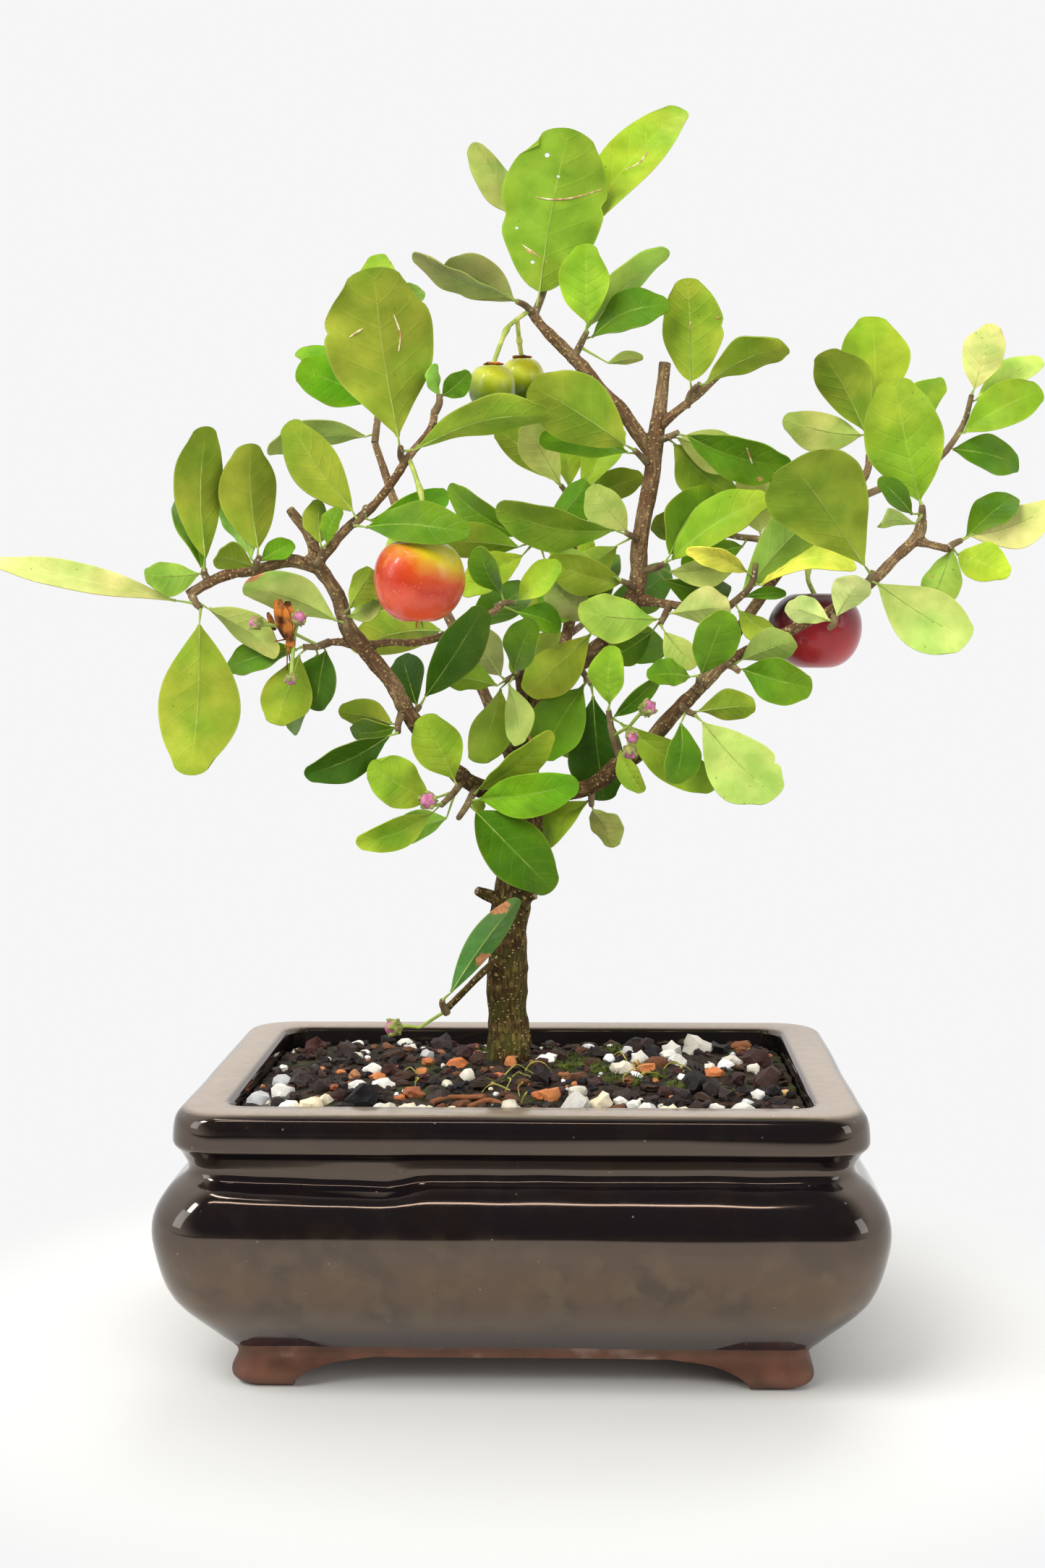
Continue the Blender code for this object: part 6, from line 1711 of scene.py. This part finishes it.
def fruit_skin(name, node, stops, lean, freckle, freckle_share):
    """A skin whose colours run along the lean, from the fruit's lower end to its upper."""
    low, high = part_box(node)
    made, tree, shader = new_material(
        name, Roughness=0.30, Coat_Weight=0.35, Coat_Roughness=0.06, Specular_IOR_Level=0.3,
        Subsurface_Weight=0.06, Subsurface_Scale=1.5 * MM,
    )
    centred = {"Vector": place_of(tree), "Location": -fruit_middle(node)}
    local = add(tree, "ShaderNodeMapping", centred).outputs[0]
    level = vector_value(tree, "DOT_PRODUCT", local, lean)
    level = maths(tree, "DIVIDE", level, (high.z - low.z) / 2)
    drift = maths(tree, "MULTIPLY_ADD", noisy(tree, local, 90.0, 3.0), 1.1, -0.55)
    # The ramp's place: on the red skin its ripening; on the dark and green skins partly painted
    # highlight and shade.
    ripe = maths(tree, "MULTIPLY_ADD", maths(tree, "ADD", level, drift), 0.5, 0.5)
    small = use(tree, dots, local, Scale=1500.0, Size=0.22, Share=freckle_share)
    colour = painted(tree, ramp(tree, ripe, stops), small, 0.28, freckle)
    scar = use(tree, clouds, local, Scale=240.0, Detail=6.0, Low=0.64, High=0.78)
    colour = painted(tree, colour, scar, 0.3, freckle)
    swell = bump(tree, noisy(tree, local, 320.0, 2.0), 0.2, 0.3 * MM)
    connect(tree, shader, Base_Color=colour, Normal=swell)
    return made


skins = {
    node: fruit_skin(name, node, *look)
    for node, name, *look in (
        ("fruit_red", "red_skin", RED_STOPS, (0.32, 0.0, 0.93), (0.85, 0.50, 0.16), 0.55),
        ("fruit_dark", "maroon_skin", MAROON_STOPS, (-0.55, 0.0, 0.85), (0.5, 0.12, 0.12), 0.3),
        (
            "fruit_green_left", "green_skin_left", GREEN_STOPS, (0.1, 0.0, 1.0),
            (0.5, 0.5, 0.2), 0.4,
        ),
        (
            "fruit_green_right", "green_skin_right", GREEN_STOPS, (0.2, -0.2, 1.0),
            (0.5, 0.5, 0.2), 0.4,
        ),
    )
}
dry_brown = two_toned(
    "dry_brown", 0.75, {"Scale": 330.0, "Detail": 5.0, "Low": 0.42, "High": 0.58},
    (0.055, 0.018, 0.005), (0.46, 0.15, 0.02), (0.7, 0.2 * MM),
)

fruit_stalk, tree, shader = new_material("fruit_stalk", Roughness=0.5)
place = place_of(tree)
shade = use(tree, clouds, place, Scale=260.0, Detail=4.0, Low=0.42, High=0.66)
joint = use(tree, dots, place, Scale=700.0, Size=0.3, Share=0.25)
colour = mixed(tree, shade, rgb(0.26, 0.34, 0.06), rgb(0.50, 0.50, 0.12))
connect(tree, shader, Base_Color=painted(tree, colour, joint, 0.6, (0.20, 0.10, 0.04)))
print("skins:", list(skins))

# %% [markdown]
# ## The fruit
#
# Each fruit is a sphere that is flattened, swollen to three soft lobes, and pressed in at
# both ends. Below the red and green ones the dry tip of the flower stays as two or three
# short bristles.

# %% Fruit
LOBES, LOBE_SIZE, FULLER = 3, 0.03, -0.19
UPPER_DIMPLE, LOWER_DIMPLE = (0.15, 0.30), (-0.05, 0.2)
FRUIT_SHRINK = 0.965
BRISTLE_WIDTHS, BRISTLE_SPREAD = (0.16, 0.14, 0.08), 0.5


def make_fruit(name, node, bristles):
    low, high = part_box(node)
    middle, half = fruit_middle(node), (high - low) / 2
    draw = rule(name)
    phase = draw.uniform(0, math.tau)
    bm = bmesh.new()
    bmesh.ops.create_uvsphere(bm, u_segments=64, v_segments=40, radius=1.0)
    for vert in bm.verts:
        x, y, z = vert.co
        reach = math.hypot(x, y)
        lobes = 1 + LOBE_SIZE * math.cos(LOBES * math.atan2(y, x) + phase) * (1 - z * z)
        lobes *= 1 + 0.04 * z
        fuller = max(reach, 1e-6) ** FULLER
        depth, spread = UPPER_DIMPLE if z > 0 else LOWER_DIMPLE
        dimple = depth * math.exp(-((reach / spread) ** 2))
        uneven = 1 + 0.02 * noise.noise(vert.co * 1.5 + Vector((phase, 0, 0)))
        vert.co = middle + Vector((
            FRUIT_SHRINK * half.x * x * lobes * fuller * uneven,
            FRUIT_SHRINK * half.y * y * lobes * fuller * uneven,
            half.z * (z - dimple),
        ))
    top = max(vert.co.z for vert in bm.verts)
    for vert in bm.verts:
        vert.co.z = low.z + (vert.co.z - low.z) * (high.z - low.z) / (top - low.z)
    for i in range(bristles):
        turn = phase + i * math.tau / bristles
        x, y = (BRISTLE_SPREAD * MM * part for part in (math.cos(turn), math.sin(turn)))
        start = middle + Vector((x, y, -0.9 * half.z))
        end = start + Vector((x, y, -0.22 * half.z))
        rod(bm, [start, start.lerp(end, 0.5), end], BRISTLE_WIDTHS, 5, 1)
    outward(bm)
    return finish_piece(bm, name, [skins[node], dry_brown], [node])


make_fruit("red_cherry", "fruit_red", 3)
make_fruit("dark_cherry", "fruit_dark", 0)
make_fruit("green_cherry_left", "fruit_green_left", 2)
make_fruit("green_cherry_right", "fruit_green_right", 2)
print("fruit sit at", [tuple(round(c / MM, 1) for c in fruit_middle(node)) for node in skins])

# %% [markdown]
# ## Stalks and sepals
#
# The fruit hang on thin stalks that have a joint halfway. Where a stalk meets its fruit, five
# small sepals lie on the skin in a star. The two green fruit share one stalk that forks.

# %% Stalks
RED_STALK = ((-23, 199, -30), (-21.5, 195, -33), (-20, 188.5, -37), (-20, 181, -38))
DARK_STALK = ((67, 178, 8), (69, 175, 5), (69, 171, 3), (69.5, 168.5, 3))
PAIR_STALK = ((5, 233, 5), (3.5, 232, 3), (2, 231, 2.5))
PAIR_ENDS = (((-0.5, 228.5, 0), (-3.5, 221, -3)), ((2.5, 226, 6), (3, 222.5, 8)))
FRUIT_STALK_RADIUS = 0.55
JOINT_PLACE, JOINT_SWELL, JOINT_SHARPNESS = 0.45, 0.5, 400
STALK_SIDES = 8
SEPALS = 5


def sepals(bm, foot, reach, material_index, turned):
    """Five small pointed leaves in a star round the stalk's end."""
    shape = sizing(reach * 0.62, reach * 0.34, reach * 0.16)
    for i in range(SEPALS):
        turn = turned + i * math.tau / SEPALS
        out = Vector((math.cos(turn), math.sin(turn), -0.12))
        placed = Matrix.Translation(foot + out * reach * 0.5) @ Matrix.Rotation(turn, 4, "Z")
        for face in faces_round(ball(bm, 2, placed @ shape)):
            face.material_index = material_index


def stalk_rod(bm, points):
    path = curve_through(points, 4)
    from_joint = [i / len(path) - JOINT_PLACE for i in range(len(path))]
    swell = [JOINT_SWELL * math.exp(-(off**2) * JOINT_SHARPNESS) for off in from_joint]
    rod(bm, path, [FRUIT_STALK_RADIUS * (1 + part) for part in swell], STALK_SIDES)


def make_single_stalk(name, node, route, fruit):
    bm = bmesh.new()
    low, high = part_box(fruit)
    foot = fruit_middle(fruit)
    foot.z = high.z - 0.05 * (high.z - low.z)
    stalk_rod(bm, [seen(*p) for p in route[:-1]] + [foot])
    sepals(bm, foot, 1.5 * MM, 0, 0.4)
    outward(bm)
    finish_piece(bm, name, [fruit_stalk], [node])


def make_forked_stalk():
    bm = bmesh.new()
    stem = [seen(*p) for p in PAIR_STALK]
    path = curve_through(stem, 4)
    rod(bm, path, [FRUIT_STALK_RADIUS] * len(path), STALK_SIDES)
    for i, points in enumerate(PAIR_ENDS):
        ends = [seen(*p) for p in points]
        stalk_rod(bm, [stem[-1]] + ends)
        sepals(bm, ends[-1], 2.3 * MM, 1, 0.3 + i)
    outward(bm)
    finish_piece(bm, "forked_stalk", [fruit_stalk, dry_brown], ["stalk_green"])


make_single_stalk("red_cherry_stalk", "stalk_red", RED_STALK, "fruit_red")
make_single_stalk("dark_cherry_stalk", "stalk_dark", DARK_STALK, "fruit_dark")
make_forked_stalk()
print("three stalks carry four fruit")

# %% [markdown]
# ## Flower buds
#
# The buds stand in small umbels on thin green stalks. Each bud is a ball whose lower half is
# held by five green sepals, each with a pair of oil glands, and pink petals show at its tip.

# %% Buds
bud_skin, tree, shader = new_material("bud_skin", Roughness=0.45)
shade = use(tree, clouds, place_of(tree), Scale=900.0, Detail=4.0, Low=0.35, High=0.7)
petal = mixed(tree, shade, rgb(0.28, 0.05, 0.14), rgb(0.56, 0.20, 0.32))
sepal = mixed(tree, shade, rgb(0.12, 0.15, 0.03), rgb(0.34, 0.33, 0.09))
colour = mixed(tree, attribute(tree, "opened"), sepal, petal)
connect(tree, shader, Base_Color=colour, Normal=bump(tree, shade, 0.3, 0.2 * MM))

UMBELS = {
    "left": (
        (-45, 156.5, -26), (-50, 159, -33),
        ((-59, 161.5, -36, 1.4), (-49, 162.5, -37, 1.5), (-51, 148.5, -36, 1.2)),
    ),
    "right": (
        (24, 135, -15), (28, 137.5, -22),
        ((32, 141.5, -25, 1.7), (28.5, 135, -27, 1.4), (28, 131.5, -24, 1.5)),
    ),
    "front": ((-15, 119.5, -23), (-17.5, 119, -28), ((-19, 120, -33, 1.8),)),
    "low": ((-16, 70, -11), (-21.5, 66.5, -13), ((-27.5, 66.5, -14, 1.85),)),
}
PEDICEL_RADIUS = 0.38
BUD_SWELL = 1.05


def bud(bm, centre, ahead, radius):
    layer = bm.verts.layers.float["opened"]
    placed = Matrix.Translation(centre) @ ahead.to_track_quat("Z", "X").to_matrix().to_4x4()
    for vert in bmesh.ops.create_uvsphere(bm, u_segments=20, v_segments=14, radius=1.0)["verts"]:
        x, y, z = vert.co
        around = SEPALS * math.atan2(y, x)
        crumple = 1 + 0.07 * math.cos(around + 3 * z) * max(0.0, z)
        vert.co = placed @ (Vector((x * crumple, y * crumple, z * 1.08)) * radius)
        vert[layer] = max(0.0, min(1.0, (z - 0.25) * 3.0 - 0.9 * math.cos(around)))
    for i in range(SEPALS):
        around = Matrix.Rotation(i * math.tau / SEPALS, 4, "Z")
        leaf = around @ Matrix.Translation((0.70 * radius, 0, 0.0)) @ Matrix.Rotation(0.42, 4, "Y")
        ball(bm, 2, placed @ leaf @ sizing(0.32 * radius, 0.46 * radius, 0.92 * radius))
        for side in (-1, 1):
            gland = around @ Matrix.Rotation(side * 0.28, 4, "Z")
            gland = gland @ Matrix.Translation((0.88 * radius, 0, -0.55 * radius))
            ball(bm, 1, placed @ gland @ sizing(0.17 * radius, 0.14 * radius, 0.26 * radius))


def make_umbel(name, start, head, buds):
    bm = bmesh.new()
    bm.verts.layers.float.new("opened")
    start, root = seen(*start), seen(*head)
    rod(bm, [start, start.lerp(root, 0.5), root], [PEDICEL_RADIUS] * 3, 7, 1)
    for right, up, depth, radius in buds:
        centre = seen(right, up, depth)
        bow = root.lerp(centre, 0.5) + Vector((0, 0, 0.06 * (centre - root).length))
        ahead = (centre - bow).normalized()
        path = curve_through([root, bow, centre - ahead * radius * 0.6 * MM], 4)
        rod(bm, path, tapered(len(path), PEDICEL_RADIUS, PEDICEL_RADIUS * 1.25), 7, 1)
        bud(bm, centre, ahead, radius * BUD_SWELL * MM)
    outward(bm)
    finish_piece(bm, "buds_" + name, [bud_skin, stalk_green], ["umbel_" + name])


for name, umbel in UMBELS.items():
    make_umbel(name, *umbel)
print("buds:", sum(len(buds) for _, _, buds in UMBELS.values()))

# %% [markdown]
# ## A withered flower
#
# Beside the left umbel's buds hangs a spent flower. Its petals have dried to curled brown
# slips, each a small grid that is bent along its length and rolled at its edges.

# %% Withered flower
DRY_HEAD = (-51.6, 157.8, -34)
# Each petal's foot and tip, and half its width.
DRY_PETALS = (
    ((-54.6, 159.8, -34), (-56.3, 164.0, -34), 0.55), (DRY_HEAD, (-54.0, 167.0, -35), 1.25),
    (DRY_HEAD, (-51.6, 166.6, -34.5), 1.35), (DRY_HEAD, (-52.8, 165.5, -33), 1.0),
    (DRY_HEAD, (-50.4, 156.0, -34.5), 0.8),
)
DRY_STAMENS = (
    (-51.9, 150.6, -34.5), (-52.9, 154.2, -35), (-54.8, 157.2, -36), (-51.2, 152.6, -34),
)
SLIP_THICKNESS = 0.14


def slip(bm, root, tip, half, draw):
    along = tip - root
    side = along.cross(camera.location - root).normalized()
    face = side.cross(along).normalized()
    roll = draw.uniform(0.9, 1.7)
    sheet = bmesh.ops.create_grid(bm, x_segments=6, y_segments=12, size=0.5)["verts"]
    for vert in sheet:
        k, t = 2 * vert.co.x, vert.co.y + 0.5
        wide = half * MM * max(0.12, math.sin(math.pi * min(0.98, 0.08 + 0.86 * t)) ** 0.6)
        bent = face * (math.sin(math.pi * t) * 0.12 * along.length)
        curl = side * (math.sin(k * roll) / roll * wide * 1.6)
        curl += face * ((1 - math.cos(k * roll)) / roll * wide)
        crisp = 0.25 * MM * noise.noise(Vector((k * 2, t * 5, roll * 9)))
        vert.co = root + along * t + bent + curl + face * crisp
    thickened(bm, sheet, face * -SLIP_THICKNESS * MM)


def make_withered_flower():
    bm = bmesh.new()
    draw = rule("dry flower")
    head, neck = seen(*DRY_HEAD), seen(*UMBELS["left"][1])
    rod(bm, [neck, neck.lerp(head, 0.5), head], (0.35, 0.35, 0.45), 7)
    for foot, tip, half in DRY_PETALS:
        slip(bm, seen(*foot), seen(*tip), half, draw)
    for point in DRY_STAMENS:
        end = seen(*point)
        bow = head.lerp(end, 0.5) + Vector((0, -0.4 * MM, 0))
        rod(bm, [head, bow, end], (0.2, 0.17, 0.14), 5)
    outward(bm)
    return finish_piece(bm, "withered_flower", [dry_brown])


make_withered_flower()
print("the withered flower has", len(DRY_PETALS), "petals")

# %% [markdown]
# ## The floor
#
# The tree stands on a pale floor that runs into a background of the same pale tone. The
# floor is lit for real near the pot, where the shadow falls, and further out it glows like
# the background, so no horizon shows. What mirrors the floor sees its front part dark, like
# the camera's side of a studio.

# %% Floor
PALE = 0.921
FLOOR_SHADE = 0.62
FLOOR_RADIUS = 3.0
LIT_RADIUS, GLOW_RADIUS = 0.085, 0.165
DARK_FROM, DARK_FULLY = -0.45, -0.90

bm = bmesh.new()
bmesh.ops.create_circle(bm, cap_ends=True, segments=96, radius=FLOOR_RADIUS)
floor = in_scene("floor", mesh_from(bm, "floor"))

floor_paint, tree, shader = new_material(
    "floor_paint", Roughness=0.9,
    Base_Color=rgb(FLOOR_SHADE, 0.99 * FLOOR_SHADE, 0.95 * FLOOR_SHADE),
)
place = place_of(tree)
from_pot = vector_value(tree, "DISTANCE", place, POT)
glowing = ranged(tree, from_pot, LIT_RADIUS, GLOW_RADIUS, interpolation_type="SMOOTHSTEP")
mirrored = add(tree, "ShaderNodeLightPath").outputs["Is Glossy Ray"]
unlit = times(tree, mirrored, ranged(tree, part_of(tree, place, 1), DARK_FROM, DARK_FULLY))
strength = maths(tree, "MULTIPLY_ADD", unlit, -0.97, 1.0)
glow = add(tree, "ShaderNodeEmission", {"Color": rgb(PALE, PALE, PALE), "Strength": strength})
glowing = maths(tree, "MAXIMUM", glowing, unlit)
blend = add(tree, "ShaderNodeMixShader", {0: glowing, 1: shader.outputs[0], 2: glow.outputs[0]})
tree.links.new(blend.outputs[0], tree.nodes["Material Output"].inputs["Surface"])
floor.data.materials.append(floor_paint)
print("the floor glows from", GLOW_RADIUS, "m outwards")

# %% [markdown]
# ## The studio's light
#
# The camera sees one even tone behind the tree, while the glaze and the leaves see a studio:
# bright all round, and dim above and behind the camera, so that the upright sides of the
# pot mirror that dim part and stay black. Three large lights shape the tree and its shadow
# and aren't mirrored. The strips and windows are, in the glaze, the fruit and the leaves.

# %% Studio
DIM_TOWARDS = Vector((0.1, -0.72, 0.62)).normalized()
WHITE, CREAM, WARM = (1.0, 1.0, 1.0), (1.0, 0.985, 0.95), (1.0, 0.9, 0.85)
PALE_BLUE, BLUE = (0.90, 0.95, 1.0), (0.70, 0.85, 1.0)

world = bpy.data.worlds.new("studio")
bpy.context.scene.world = world
world.use_nodes = True
tree = world.node_tree
background = tree.nodes["Background"]
background.inputs["Color"].default_value = rgb(*WHITE)
towards = place_of(tree, "Generated")
facing = vector_value(tree, "DOT_PRODUCT", towards, DIM_TOWARDS)
dim = ranged(tree, facing, 0.30, 0.80, 1.0, 0.05, interpolation_type="SMOOTHSTEP")
dome = ranged(tree, part_of(tree, towards, 2), 0.1, 0.9, 0.85, 1.15)
tree.links.new(times(tree, dim, dome), background.inputs["Strength"])
backdrop = add(tree, "ShaderNodeBackground", {"Color": rgb(PALE, PALE, PALE), "Strength": 1.0})
sees = add(tree, "ShaderNodeLightPath").outputs["Is Camera Ray"]
either = {0: sees, 1: background.outputs[0], 2: backdrop.outputs[0]}
either = add(tree, "ShaderNodeMixShader", either)
tree.links.new(either.outputs[0], tree.nodes["World Output"].inputs["Surface"])


def soft_light(name, place, aim, size, power, tint=WHITE, mirrored=True):
    lamp = bpy.data.lights.new(name, "AREA")
    lamp.shape = "RECTANGLE"
    lamp.size, lamp.size_y = size
    lamp.energy = power
    lamp.color = tint
    holder = in_scene(name, lamp)
    holder.location = place
    holder.rotation_euler = (Vector(aim) - Vector(place)).to_track_quat("-Z", "Y").to_euler()
    holder.visible_glossy = mirrored


soft_light("key", (-0.55, -0.75, 0.95), (0, 0, 0.15), (0.7, 0.7), 16.0, CREAM, False)
soft_light("back", (0.2, 0.75, 0.9), (0, 0, 0.2), (0.9, 0.6), 9.0, WHITE, False)
soft_light("fill", (0.6, -1.0, 0.4), (0, 0, 0.15), (0.8, 0.8), 8.0, WHITE, False)
soft_light("strip", (-0.30, -0.26, 1.0), (0, -0.05, 0.06), (0.30, 0.03), 0.35)
soft_light("long_strip", (-0.14, -0.55, 0.95), (0, -0.06, 0.06), (0.55, 0.03), 0.5, WARM)
soft_light("high_window", (-0.75, -0.40, 0.88), (0, 0, 0.16), (0.16, 0.22), 2.0, PALE_BLUE)
soft_light("left_window", (-0.95, -0.42, 0.5), (0, 0, 0.12), (0.35, 0.6), 1.5, BLUE)
soft_light("right_window", (0.95, -0.45, 0.42), (0, 0, 0.12), (0.3, 0.5), 0.9, BLUE)
bpy.context.scene.view_settings.view_transform = "Standard"
